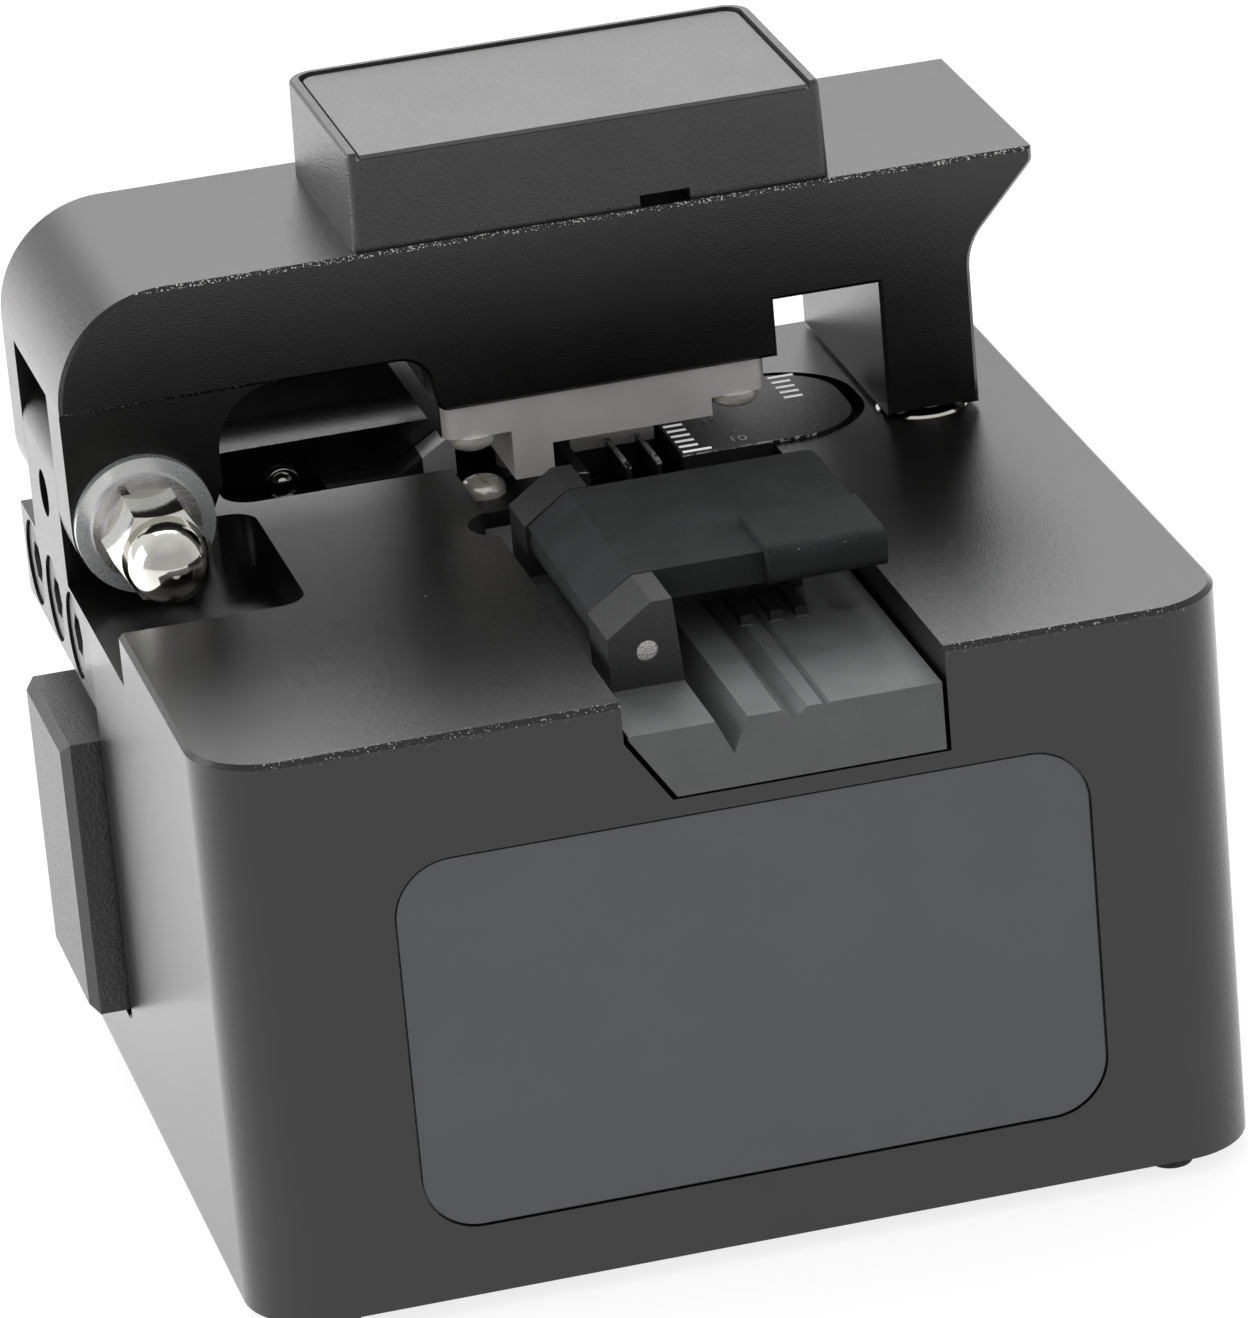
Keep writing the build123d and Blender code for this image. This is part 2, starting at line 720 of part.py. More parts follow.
with BuildPart() as lever_cover:
    with BuildSketch(Plane.XY.offset(lever_top_z)):
        with Locations((cover_left, cover_front)):
            Rectangle(cover_right - cover_left, cover_back - cover_front, align=LOW_2D)
        fillet(vertices().group_by(Axis.Y)[-1], cover_back_corner)
        fillet(vertices().group_by(Axis.Y)[0], cover_front_corner)
    extrude(amount=cover_height, taper=cover_draft)
    fillet(lever_cover.faces().sort_by(Axis.Z)[-1].edges(), cover_edge)
    with BuildSketch(Plane.XY.offset(lever_top_z + cover_height - rim_height)):
        with Locations((cover_left + rim_width, cover_front - 1)):
            Rectangle(
                cover_right - cover_left - 2 * rim_width,
                cover_back - rim_width - cover_front + 1,
                align=LOW_2D,
            )
        fillet(vertices().group_by(Axis.Y)[-1], cover_back_corner - rim_width)
    extrude(amount=rim_height, mode=Mode.SUBTRACT)
    with Locations((foot_notch_left, cover_front - 1, lever_top_z)):
        Box(foot_notch_width, 3.0, foot_notch_height, align=LOW, mode=Mode.SUBTRACT)
lever_cover.part.label = "lever_cover"
export_step(lever_cover.part, "parts/lever_cover.step")

# Bare plate in the cover's recess, open to the front
plate_gap = 0.25
plate_thickness = 0.3
plate_z = lever_top_z + cover_height - rim_height

with BuildPart() as cover_plate:
    with BuildSketch(Plane.XY.offset(plate_z)):
        with Locations((cover_left + rim_width + plate_gap, cover_front + plate_gap)):
            Rectangle(
                cover_right - cover_left - 2 * (rim_width + plate_gap),
                cover_back - cover_front - rim_width - 2 * plate_gap,
                align=LOW_2D,
            )
        fillet(vertices().group_by(Axis.Y)[-1], cover_back_corner - rim_width)
    extrude(amount=plate_thickness)
cover_plate.part.label = "cover_plate"
export_step(cover_plate.part, "parts/cover_plate.step")


# Upper clamp plate under the skirts, with two pad carriers
clamp_front = front + 39.0
clamp_back = front + 58.6
clamp_inner_back = front + 53.0
clamp_plate_bottom_z = skirt_bottom_z - 2.2
clamp_plate_width = 21.4
clamp_corner = 1.2
pad_left = left + 33.6
pad_right = left + 39.2
pad_ys = (front + 44.0, front + 49.2)
pad_depth = 2.8
carrier_bottom_z = deck_z - 0.5
carrier_top_z = deck_z + 2.3
carrier_right = left + 42.0
block_left = left + 28.8
block_right = left + 31.4
block_bottom_z = deck_z + 0.2
upper_pad_bottom_z = fibre_top_z + 0.2

with BuildPart() as upper_clamp_plate:
    with Locations((left + 24.4, clamp_front, clamp_plate_bottom_z)):
        Box(clamp_plate_width, clamp_back - clamp_front, skirt_bottom_z - clamp_plate_bottom_z, align=LOW)
    fillet(upper_clamp_plate.edges().filter_by(Axis.Z), clamp_corner)
    with BuildSketch(Plane.XZ.offset(-clamp_front)):
        with BuildLine():
            Polyline(
                (left + 28.8, clamp_plate_bottom_z),
                (block_left, block_bottom_z),
                (block_right, block_bottom_z),
                (block_right, carrier_top_z),
                (carrier_right, carrier_top_z),
                (left + 42.0, clamp_plate_bottom_z),
                close=True,
            )
        make_face()
    extrude(amount=-(clamp_inner_back - clamp_front))
    for pad_front in pad_ys:
        with Locations((pad_left, pad_front, carrier_bottom_z)):
            Box(pad_right - pad_left, pad_depth, carrier_top_z - carrier_bottom_z, align=LOW)
    with BuildSketch(Plane.XY.offset(clamp_plate_bottom_z)):
        with Locations(*[(x, y) for x in clamp_screw_xs for y in clamp_screw_ys]):
            Circle(m2_radius + running_gap)
    extrude(amount=skirt_bottom_z - clamp_plate_bottom_z, mode=Mode.SUBTRACT)
upper_clamp_plate.part.label = "upper_clamp_plate"
export_step(upper_clamp_plate.part, "parts/upper_clamp_plate.step")

with BuildPart() as upper_clamp_pads:
    for pad_front in pad_ys:
        with Locations((pad_left, pad_front, upper_pad_bottom_z)):
            Box(pad_right - pad_left, pad_depth, carrier_bottom_z - upper_pad_bottom_z, align=LOW)
upper_clamp_pads.part.label = "upper_clamp_pads"
export_step(upper_clamp_pads.part, "parts/upper_clamp_pads.step")

pan_head_radius = 1.6
pan_head_height = 1.0
pan_head_edge = 0.75

with BuildPart() as clamp_plate_screws:
    with BuildSketch(Plane.XY.offset(clamp_plate_bottom_z)):
        with Locations(*[(x, y) for x in clamp_screw_xs for y in clamp_screw_ys]):
            Circle(pan_head_radius)
    extrude(amount=-pan_head_height)
    fillet(clamp_plate_screws.faces().group_by(Axis.Z)[0].edges(), pan_head_edge)
    with BuildSketch(Plane.XY.offset(clamp_plate_bottom_z)):
        with Locations(*[(x, y) for x in clamp_screw_xs for y in clamp_screw_ys]):
            Circle(m2_radius)
    extrude(amount=skirt_bottom_z - clamp_plate_bottom_z + clamp_thread_depth - seat_gap)
    with BuildSketch(Plane.XY.offset(clamp_plate_bottom_z - pan_head_height)):
        with Locations(*[(x, y) for x in clamp_screw_xs for y in clamp_screw_ys]):
            Rectangle(2 * drive_radius, drive_slot)
            Rectangle(drive_slot, 2 * drive_radius)
    extrude(amount=drive_depth, mode=Mode.SUBTRACT)
clamp_plate_screws.part.label = "clamp_plate_screws"
export_step(clamp_plate_screws.part, "parts/clamp_plate_screws.step")


# Anvil plate: guide ridges in front of the blade, a flange, and the scale tongue
anvil_left = left + 32.7
anvil_right = left + 45.5
anvil_front = front + 38.0
anvil_back = front + 47.0
anvil_top_z = deck_z + 0.2
anvil_edge = 0.15
anvil_bed_z = deck_z - 3.4
channel_floor_z = deck_z - 2.5
channel_back = front + 43.7
channels = [(left + 33.4, left + 35.85), (left + 36.15, left + 37.85), (left + 38.15, left + 39.6)]
flange_left = left + 26.0
flange_front = front + 38.2
flange_back = front + 43.3
flange_top_z = deck_z - 1.4
flange_foot_left = left + 28.6

with BuildPart() as anvil_plate:
    with Locations((anvil_left, anvil_front, slot_floor_z)):
        Box(anvil_right - anvil_left, anvil_back - anvil_front, anvil_top_z - slot_floor_z, align=LOW)
    with BuildSketch(Plane.XZ.offset(-flange_front)):
        with BuildLine():
            Polyline(
                (anvil_left, slot_floor_z),
                (flange_foot_left, slot_floor_z),
                (flange_left, slot_floor_z + slot_bevel_top),
                (flange_left, flange_top_z),
                (anvil_left, flange_top_z),
                close=True,
            )
        make_face()
    extrude(amount=-(flange_back - flange_front))
    with BuildSketch(Plane.XY.offset(scale_floor_z)):
        with Locations((anvil_right, scale_front)):
            Rectangle(scale_right - anvil_right, scale_back - scale_front, align=LOW_2D)
        fillet(vertices().group_by(Axis.X)[-1], scale_round)
    extrude(amount=anvil_top_z - scale_floor_z)
    for channel_left, channel_right in channels:
        with Locations((channel_left, anvil_front, channel_floor_z)):
            Box(
                channel_right - channel_left,
                anvil_back - anvil_front,
                anvil_top_z - channel_floor_z,
                align=LOW,
                mode=Mode.SUBTRACT,
            )
    with Locations((channels[0][0], channel_back, anvil_bed_z)):
        Box(
            channels[-1][1] - channels[0][0],
            anvil_back - channel_back,
            anvil_top_z - anvil_bed_z,
            align=LOW,
            mode=Mode.SUBTRACT,
        )
    with BuildSketch(Plane.XY.offset(slot_floor_z)):
        with Locations(anvil_screw_spot):
            Circle(m2_radius + running_gap)
    extrude(amount=anvil_top_z - slot_floor_z, mode=Mode.SUBTRACT)
anvil_plate.part.label = "anvil_plate"
export_step(anvil_plate.part, "parts/anvil_plate.step")

# A cross-head screw through the flange holds it
anvil_head_radius = 1.5
anvil_head_height = 1.0

with BuildPart() as anvil_screw:
    with BuildSketch(Plane.XY.offset(flange_top_z)):
        with Locations(anvil_screw_spot):
            Circle(anvil_head_radius)
    extrude(amount=anvil_head_height)
    fillet(anvil_screw.faces().sort_by(Axis.Z)[-1].edges(), pan_head_edge)
    with BuildSketch(Plane.XY.offset(flange_top_z)):
        with Locations(anvil_screw_spot):
            Circle(m2_radius)
    extrude(amount=-(flange_top_z - slot_floor_z + anvil_screw_depth - seat_gap))
    with BuildSketch(Plane.XY.offset(flange_top_z + anvil_head_height)):
        with Locations(anvil_screw_spot):
            Rectangle(2 * drive_radius, drive_slot)
            Rectangle(drive_slot, 2 * drive_radius)
    extrude(amount=-drive_depth, mode=Mode.SUBTRACT)
anvil_screw.part.label = "anvil_screw"
export_step(anvil_screw.part, "parts/anvil_screw.step")

# Rear anvil on the pocket ledge, with an arm that carries the ramp
rear_anvil_left = left + 30.0
rear_anvil_right = left + 44.8
rear_anvil_front = front + 49.2
rear_anvil_back = pocket_back - slide_gap
rear_anvil_head_radius = 1.35
ramp_left = left + 18.7
ramp_front = front + 50.8
ramp_seat_z = deck_z - 3.2

with BuildPart() as rear_anvil:
    with Locations((rear_anvil_left, rear_anvil_front, ledge_z)):
        Box(
            rear_anvil_right - rear_anvil_left,
            rear_anvil_back - rear_anvil_front,
            anvil_bed_z - ledge_z,
            align=LOW,
        )
    with Locations((ramp_left, ramp_front, ledge_z)):
        Box(rear_anvil_left - ramp_left, rear_anvil_back - ramp_front, ramp_seat_z - ledge_z, align=LOW)
    with BuildSketch(Plane.XY.offset(ledge_z)):
        with Locations(*rear_anvil_screw_spots):
            Circle(m2_radius + running_gap)
    extrude(amount=anvil_bed_z - ledge_z, mode=Mode.SUBTRACT)
rear_anvil.part.label = "rear_anvil"
export_step(rear_anvil.part, "parts/rear_anvil.step")

with BuildPart() as rear_anvil_screws:
    for spot in rear_anvil_screw_spots:
        with BuildSketch(Plane.XY.offset(anvil_bed_z)):
            with Locations(spot):
                Circle(rear_anvil_head_radius)
        extrude(amount=anvil_head_height)
        with BuildSketch(Plane.XY.offset(anvil_bed_z)):
            with Locations(spot):
                Circle(m2_radius)
        extrude(amount=-(anvil_bed_z - ledge_z + anvil_screw_depth - seat_gap))
        with BuildSketch(Plane.XY.offset(anvil_bed_z + anvil_head_height)):
            with Locations(spot):
                Rectangle(2 * drive_radius, drive_slot)
                Rectangle(drive_slot, 2 * drive_radius)
        extrude(amount=-drive_depth, mode=Mode.SUBTRACT)
rear_anvil_screws.part.label = "rear_anvil_screws"
export_step(rear_anvil_screws.part, "parts/rear_anvil_screws.step")

# Rubber pads on both anvils, level with the fibre line
lower_pad_top_z = fibre_top_z - 0.1

with BuildPart() as lower_clamp_pads:
    for pad_front in pad_ys:
        with Locations((pad_left, pad_front, anvil_bed_z)):
            Box(pad_right - pad_left, pad_depth, lower_pad_top_z - anvil_bed_z, align=LOW)
lower_clamp_pads.part.label = "lower_clamp_pads"
export_step(lower_clamp_pads.part, "parts/lower_clamp_pads.step")


# Bent steel strip on the arm, with a ramp at its right end
ramp_right = left + 27.4
ramp_wedge_left = left + 23.6
ramp_strip_thickness = 0.5
ramp_tip_z = deck_z - 0.4

with BuildPart() as ramp_strip:
    with BuildSketch(Plane.XZ.offset(-ramp_front)):
        with BuildLine():
            Polyline(
                (ramp_left, ramp_seat_z),
                (ramp_right, ramp_seat_z),
                (ramp_right, ramp_tip_z),
                (ramp_wedge_left, ramp_seat_z + ramp_strip_thickness),
                (ramp_left, ramp_seat_z + ramp_strip_thickness),
                close=True,
            )
        make_face()
    extrude(amount=-(rear_anvil_back - ramp_front))
ramp_strip.part.label = "ramp_strip"
export_step(ramp_strip.part, "parts/ramp_strip.step")

# Domed stud in the back wall of the pocket
stud_proud = 0.8
with BuildPart() as pocket_stud:
    with BuildSketch(Plane.XZ.offset(-(pocket_back + stud_depth))):
        with Locations((stud_x, stud_z)):
            Circle(stud_radius)
    extrude(amount=stud_depth + stud_proud)
    fillet(pocket_stud.faces().sort_by(Axis.Y)[0].edges(), stud_proud)
pocket_stud.part.label = "pocket_stud"
export_step(pocket_stud.part, "parts/pocket_stud.step")


# Blade carriage: waisted rail on the tunnel floor, block, pads, blade
rail_half_width = 2.5
rail_half_waist = 1.8
rail_height = 4.0
rail_lip = 1.2
rail_slope = 0.4
carriage_gap_y = 0.5
carriage_left = left + 1.9
carriage_right = right - 4.4
carriage_front = tunnel_front + carriage_gap_y
carriage_back = tunnel_back - carriage_gap_y
carriage_bottom_z = tunnel_bottom_z + 0.5
carriage_top_z = tunnel_top_z - 0.5
axle_radius = 1.2
cheek_reach = 3.5
cheek_wall = 0.9
cheek_top_z = blade_z + axle_radius + cheek_wall
cheek_spans = [(front + 44.2, front + 47.3), (front + 48.7, front + 50.3)]
blade_slot_width = 1.4
blade_slot_reach = blade_radius + 0.5
blade_slot_floor_z = blade_z - blade_radius - 0.5


def rail_outline(gap):
    """Waisted rail section in the YZ plane, grown by the gap."""
    foot = tunnel_bottom_z
    top = foot + rail_height
    wide = rail_half_width + gap
    waist = rail_half_waist + gap
    return [
        (rail_y - wide, foot),
        (rail_y - wide, foot + rail_lip + gap),
        (rail_y - waist, foot + rail_lip + rail_slope + gap),
        (rail_y - waist, top - rail_lip - rail_slope - gap),
        (rail_y - wide, top - rail_lip - gap),
        (rail_y - wide, top + gap),
        (rail_y + wide, top + gap),
        (rail_y + wide, top - rail_lip - gap),
        (rail_y + waist, top - rail_lip - rail_slope - gap),
        (rail_y + waist, foot + rail_lip + rail_slope + gap),
        (rail_y + wide, foot + rail_lip + gap),
        (rail_y + wide, foot),
    ]


rail_screw_spots = [(rail_x - rail_screw_dx / 2, rail_y), (rail_x + rail_screw_dx / 2, rail_y)]
rail_head_radius = 1.7
rail_head_seat = 1.4

with BuildPart() as carriage_rail:
    with BuildSketch(Plane.YZ.offset(rail_left)):
        with BuildLine():
            Polyline(*rail_outline(0), close=True)
        make_face()
    extrude(amount=rail_right - rail_left)
    with BuildSketch(Plane.XY.offset(tunnel_bottom_z)):
        with Locations(*rail_screw_spots):
            Circle(m2_radius + running_gap)
    extrude(amount=rail_height, mode=Mode.SUBTRACT)
    with BuildSketch(Plane.XY.offset(tunnel_bottom_z + rail_height)):
        with Locations(*rail_screw_spots):
            Circle(rail_head_radius + running_gap)
    extrude(amount=-rail_head_seat, mode=Mode.SUBTRACT)
carriage_rail.part.label = "carriage_rail"
export_step(carriage_rail.part, "parts/carriage_rail.step")

with BuildPart() as rail_screws:
    with BuildSketch(Plane.XY.offset(tunnel_bottom_z + rail_height - rail_head_seat)):
        with Locations(*rail_screw_spots):
            Circle(rail_head_radius)
    extrude(amount=rail_head_seat - seat_gap)
    with BuildSketch(Plane.XY.offset(tunnel_bottom_z - rail_screw_depth + seat_gap)):
        with Locations(*rail_screw_spots):
            Circle(m2_radius)
    extrude(amount=rail_screw_depth - seat_gap + rail_height - rail_head_seat)
rail_screws.part.label = "rail_screws"
export_step(rail_screws.part, "parts/rail_screws.step")

with BuildPart() as carriage_block:
    with Locations((carriage_left, carriage_front, carriage_bottom_z)):
        Box(
            carriage_right - carriage_left,
            carriage_back - carriage_front,
            carriage_top_z - carriage_bottom_z,
            align=LOW,
        )
    for cheek_front, cheek_back in cheek_spans:
        with Locations((blade_x - cheek_reach, cheek_front, carriage_top_z)):
            Box(2 * cheek_reach, cheek_back - cheek_front, cheek_top_z - carriage_top_z, align=LOW)
    with Locations((blade_x - blade_slot_reach, blade_plane - blade_slot_width / 2, blade_slot_floor_z)):
        Box(
            2 * blade_slot_reach,
            blade_slot_width,
            carriage_top_z - blade_slot_floor_z,
            align=LOW,
            mode=Mode.SUBTRACT,
        )
    with BuildSketch(Plane.YZ.offset(carriage_left)):
        with BuildLine():
            Polyline(*rail_outline(running_gap), close=True)
        make_face()
    extrude(amount=carriage_right - carriage_left, mode=Mode.SUBTRACT)
    with BuildSketch(Plane.XZ.offset(-cheek_spans[0][0])):
        with Locations((blade_x, blade_z)):
            Circle(axle_radius)
    extrude(amount=-(cheek_spans[1][1] - cheek_spans[0][0]), mode=Mode.SUBTRACT)
carriage_block.part.label = "carriage_block"
export_step(carriage_block.part, "parts/carriage_block.step")

with BuildPart() as blade_axle:
    with BuildSketch(Plane.XZ.offset(-cheek_spans[0][0])):
        with Locations((blade_x, blade_z)):
            Circle(axle_radius)
    extrude(amount=-(cheek_spans[1][1] - cheek_spans[0][0]))
blade_axle.part.label = "blade_axle"
export_step(blade_axle.part, "parts/blade_axle.step")

# Blade: a steel disc bevelled to an edge on both sides
blade_bevel = 0.9
blade_edge = 0.1
with BuildPart() as blade_wheel:
    with BuildSketch(Plane.XY.offset(blade_z)):
        with BuildLine():
            Polyline(
                (blade_x + axle_radius + running_gap, blade_plane - blade_thickness / 2),
                (blade_x + blade_radius - blade_bevel, blade_plane - blade_thickness / 2),
                (blade_x + blade_radius, blade_plane - blade_edge / 2),
                (blade_x + blade_radius, blade_plane + blade_edge / 2),
                (blade_x + blade_radius - blade_bevel, blade_plane + blade_thickness / 2),
                (blade_x + axle_radius + running_gap, blade_plane + blade_thickness / 2),
                close=True,
            )
        make_face()
    revolve(axis=Axis((blade_x, blade_plane, blade_z), (0, 1, 0)))
blade_wheel.part.label = "blade_wheel"
export_step(blade_wheel.part, "parts/blade_wheel.step")

# Push pads on both ends of the carriage
push_pad_edge = 0.6
with BuildPart() as left_push_pad:
    with Locations((left - left_pad_proud, carriage_front, carriage_bottom_z)):
        Box(
            carriage_left - left + left_pad_proud,
            carriage_back - carriage_front,
            carriage_top_z - carriage_bottom_z,
            align=LOW,
        )
    chamfer(left_push_pad.faces().sort_by(Axis.X)[0].edges(), push_pad_edge)
left_push_pad.part.label = "left_push_pad"
export_step(left_push_pad.part, "parts/left_push_pad.step")

with BuildPart() as right_push_pad:
    with Locations((carriage_right, carriage_front, carriage_bottom_z)):
        Box(
            right + right_pad_proud - carriage_right,
            carriage_back - carriage_front,
            carriage_top_z - carriage_bottom_z,
            align=LOW,
        )
    chamfer(right_push_pad.faces().sort_by(Axis.X)[-1].edges(), push_pad_edge)
right_push_pad.part.label = "right_push_pad"
export_step(right_push_pad.part, "parts/right_push_pad.step")


# Fibre holder: a grooved plate in the deck slot, with two ears for the flap
holder_gap = 0.3
holder_left = slot_left + holder_gap
holder_right = slot_right - holder_gap
holder_back = front + 37.5
holder_bottom_z = slot_floor_z + slide_gap
holder_top_z = deck_z - 2.2
pin_x = left + 29.15
pin_z = deck_z + 0.15
flap_pin_radius = 0.7
pin_sunk = 0.3
ear_spans = [(front + 7.0, front + 11.8), (front + 27.8, front + 32.0)]
flap_top_z = deck_z + 3.3
holder_ear_left = left + 26.7
holder_ear_corner_z = deck_z + 1.3
holder_ear_top_left = left + 29.6
holder_ear_top_right = left + 30.9
holder_ear_foot_right = left + 31.3
knuckle_relief = 0.5
knuckle_relief_right = left + 31.8
rib_xs = (left + 37.1, left + 39.0, left + 40.6)
rib_front = front + 14.0
rib_depth = 4.3
rib_width = 0.8
rib_height = 0.7
button_x = left + 43.6
button_y = front + 15.0
button_radius = 1.2
button_proud = 0.5
magnet_depth = 1.5
groove_shapes = {"jacket": (1.0, 2.2), "buffer": (0.8, 0.8), "bare": (0.25, 0.25)}

with BuildPart() as fibre_holder:
    with BuildSketch(Plane.XZ.offset(-front)):
        with BuildLine():
            Polyline(
                (holder_left, holder_top_z),
                (holder_left, slot_floor_z + slot_bevel_top + slide_gap),
                (slot_left + slot_bevel_run + holder_gap, holder_bottom_z),
                (holder_right, holder_bottom_z),
                (holder_right, holder_top_z),
                close=True,
            )
        make_face()
    extrude(amount=-(holder_back - front))
    for ear_y, ear_end in ear_spans:
        with BuildSketch(Plane.XZ.offset(-ear_y)):
            with BuildLine():
                Polyline(
                    (holder_ear_left, holder_top_z),
                    (holder_ear_left, holder_ear_corner_z),
                    (holder_ear_top_left, flap_top_z),
                    (holder_ear_top_right, flap_top_z),
                    (holder_ear_foot_right, holder_top_z),
                    close=True,
                )
            make_face()
        extrude(amount=-(ear_end - ear_y))
    with Locations((holder_left, ear_spans[0][1], holder_top_z - knuckle_relief)):
        Box(
            knuckle_relief_right - holder_left,
            ear_spans[1][0] - ear_spans[0][1],
            knuckle_relief,
            align=LOW,
            mode=Mode.SUBTRACT,
        )
    with Locations(*[(x - rib_width / 2, rib_front, holder_top_z) for x in rib_xs]):
        Box(rib_width, rib_depth, rib_height, align=LOW)
    for name, (half_width, depth) in groove_shapes.items():
        with BuildSketch(Plane.XZ.offset(-front)):
            with BuildLine():
                Polyline(
                    (groove_xs[name] - half_width, holder_top_z),
                    (groove_xs[name], holder_top_z - depth),
                    (groove_xs[name] + half_width, holder_top_z),
                    close=True,
                )
            make_face()
        extrude(amount=-(holder_back - front), mode=Mode.SUBTRACT)
    with BuildSketch(Plane.XZ.offset(-ear_spans[0][0])):
        with Locations((pin_x, pin_z)):
            Circle(flap_pin_radius)
    extrude(amount=-(ear_spans[1][1] - ear_spans[0][0]), mode=Mode.SUBTRACT)
    with BuildSketch(Plane.XY.offset(holder_top_z)):
        with Locations((button_x, button_y)):
            Circle(button_radius)
    extrude(amount=-magnet_depth, mode=Mode.SUBTRACT)
fibre_holder.part.label = "fibre_holder"
export_step(fibre_holder.part, "parts/fibre_holder.step")

# Magnet in the holder that keeps the flap down
with BuildPart() as holder_magnet:
    with BuildSketch(Plane.XY.offset(holder_top_z)):
        with Locations((button_x, button_y)):
            Circle(button_radius)
    extrude(amount=-magnet_depth)
holder_magnet.part.label = "holder_magnet"
export_step(holder_magnet.part, "parts/holder_magnet.step")

with BuildPart() as flap_pin:
    with BuildSketch(Plane.XZ.offset(-(ear_spans[0][0] + pin_sunk))):
        with Locations((pin_x, pin_z)):
            Circle(flap_pin_radius)
    extrude(amount=-(ear_spans[1][1] - ear_spans[0][0] - 2 * pin_sunk))
flap_pin.part.label = "flap_pin"
export_step(flap_pin.part, "parts/flap_pin.step")

# Flap that presses the fibre into its groove
flap_thickness = 2.0
flap_front = ear_spans[0][1] + slide_gap
flap_back = ear_spans[1][0] - slide_gap
flap_right = left + 45.5
flap_knuckle_radius = 2.2
flap_lip_left = left + 38.0
flap_lip_back = front + 17.5
flap_lip_height = 0.5
flap_lip_front = front + 10.8
flap_lip_round = 0.9
flap_corner = 0.8

with BuildPart() as clamp_flap:
    with BuildSketch(Plane.XZ.offset(-flap_front)):
        with BuildLine():
            Polyline(
                (holder_ear_left + slide_gap, flap_top_z - flap_thickness),
                (holder_ear_top_left, flap_top_z),
                (flap_right, flap_top_z),
                (flap_right, flap_top_z - flap_thickness),
                close=True,
            )
        make_face()
        with Locations((pin_x, pin_z)):
            Circle(flap_knuckle_radius)
            Circle(flap_pin_radius + running_gap, mode=Mode.SUBTRACT)
    extrude(amount=-(flap_back - flap_front))
    # Finger lip: it stands forward of the flap and a little above it, round at the front
    with BuildSketch(Plane.YZ.offset(flap_lip_left)):
        with BuildLine():
            Polyline(
                (flap_lip_back, flap_top_z - flap_thickness),
                (flap_lip_front, flap_top_z - flap_thickness),
                (flap_lip_front, flap_top_z + flap_lip_height),
                (flap_lip_back, flap_top_z + flap_lip_height),
                close=True,
            )
        make_face()
        fillet(vertices().group_by(Axis.X)[0], flap_lip_round)
    extrude(amount=flap_right - flap_lip_left)
    fillet(clamp_flap.edges().filter_by(Axis.Z).sort_by(Axis.X)[-1:], flap_corner)
clamp_flap.part.label = "clamp_flap"
export_step(clamp_flap.part, "parts/clamp_flap.step")

# Steel button under the flap's free end, over the holder's magnet
with BuildPart() as flap_button:
    with BuildSketch(Plane.XY.offset(flap_top_z - flap_thickness - button_proud)):
        with Locations((button_x, button_y)):
            Circle(button_radius)
    extrude(amount=button_proud)
flap_button.part.label = "flap_button"
export_step(flap_button.part, "parts/flap_button.step")

flap_pad_left = left + 32.2
flap_pad_right = left + 42.0
flap_pad_front = front + 18.8
flap_pad_back = front + 26.0
with BuildPart() as flap_pad:
    with Locations((flap_pad_left, flap_pad_front, fibre_top_z + 0.2)):
        Box(
            flap_pad_right - flap_pad_left,
            flap_pad_back - flap_pad_front,
            flap_top_z - flap_thickness - fibre_top_z - 0.2,
            align=LOW,
        )
flap_pad.part.label = "flap_pad"
export_step(flap_pad.part, "parts/flap_pad.step")
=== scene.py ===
# %% [markdown]
# # A desk-top fibre cleaver
# The solids come from the CAD model and stay where they are. This file gives them their finishes,
# adds the small pieces that are easier to make in Blender, and sets up the photograph's view.
# Everything is in metres, in the CAD model's own frame: +Z is up and -Y faces the user.

import bmesh
import bpy
import math
from mathutils import Matrix, Vector


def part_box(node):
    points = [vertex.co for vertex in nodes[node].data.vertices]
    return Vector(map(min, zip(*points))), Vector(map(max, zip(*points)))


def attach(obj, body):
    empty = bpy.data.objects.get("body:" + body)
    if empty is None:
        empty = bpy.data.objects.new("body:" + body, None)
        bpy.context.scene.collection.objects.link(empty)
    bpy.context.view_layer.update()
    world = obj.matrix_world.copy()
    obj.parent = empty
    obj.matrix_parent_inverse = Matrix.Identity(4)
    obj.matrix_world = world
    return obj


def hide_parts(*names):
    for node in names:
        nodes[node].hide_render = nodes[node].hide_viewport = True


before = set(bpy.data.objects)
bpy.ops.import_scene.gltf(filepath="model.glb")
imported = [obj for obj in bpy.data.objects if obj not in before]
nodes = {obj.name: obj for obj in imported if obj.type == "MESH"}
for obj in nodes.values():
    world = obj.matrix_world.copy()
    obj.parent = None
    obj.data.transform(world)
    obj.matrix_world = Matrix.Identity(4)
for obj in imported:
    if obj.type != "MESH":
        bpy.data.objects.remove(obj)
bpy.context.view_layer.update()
MM = 0.001

# %% [markdown]
# ## The camera
# The photograph was taken with a long lens from a little left of the front and 22 degrees above it.
# The three rows below are the directions of the picture's right, down and away from the camera,
# found by fitting the body's straight edges. Blender's camera looks along its own -Z, so two rows
# change their sign.

# %% Camera
picture_right = Vector((0.96487, -0.24931, -0.08295))
picture_down = Vector((-0.1682, -0.34355, -0.92395))
away = Vector((0.20185, 0.90544, -0.37342))
eye = Vector((-105.107, -464.576, 219.946)) * MM

camera_data = bpy.data.cameras.new("photo_camera")
camera_data.sensor_width = 36.0
camera_data.lens = 221.3
camera_data.clip_start = 0.01
camera = bpy.data.objects.new("photo_camera", camera_data)
bpy.context.scene.collection.objects.link(camera)
turn = Matrix((picture_right, -picture_down, -away)).transposed().to_4x4()
camera.matrix_world = Matrix.Translation(eye) @ turn
bpy.context.scene.camera = camera
bpy.context.scene.view_settings.view_transform = "Standard"
print("camera", round(eye.length, 3), "m from the origin")

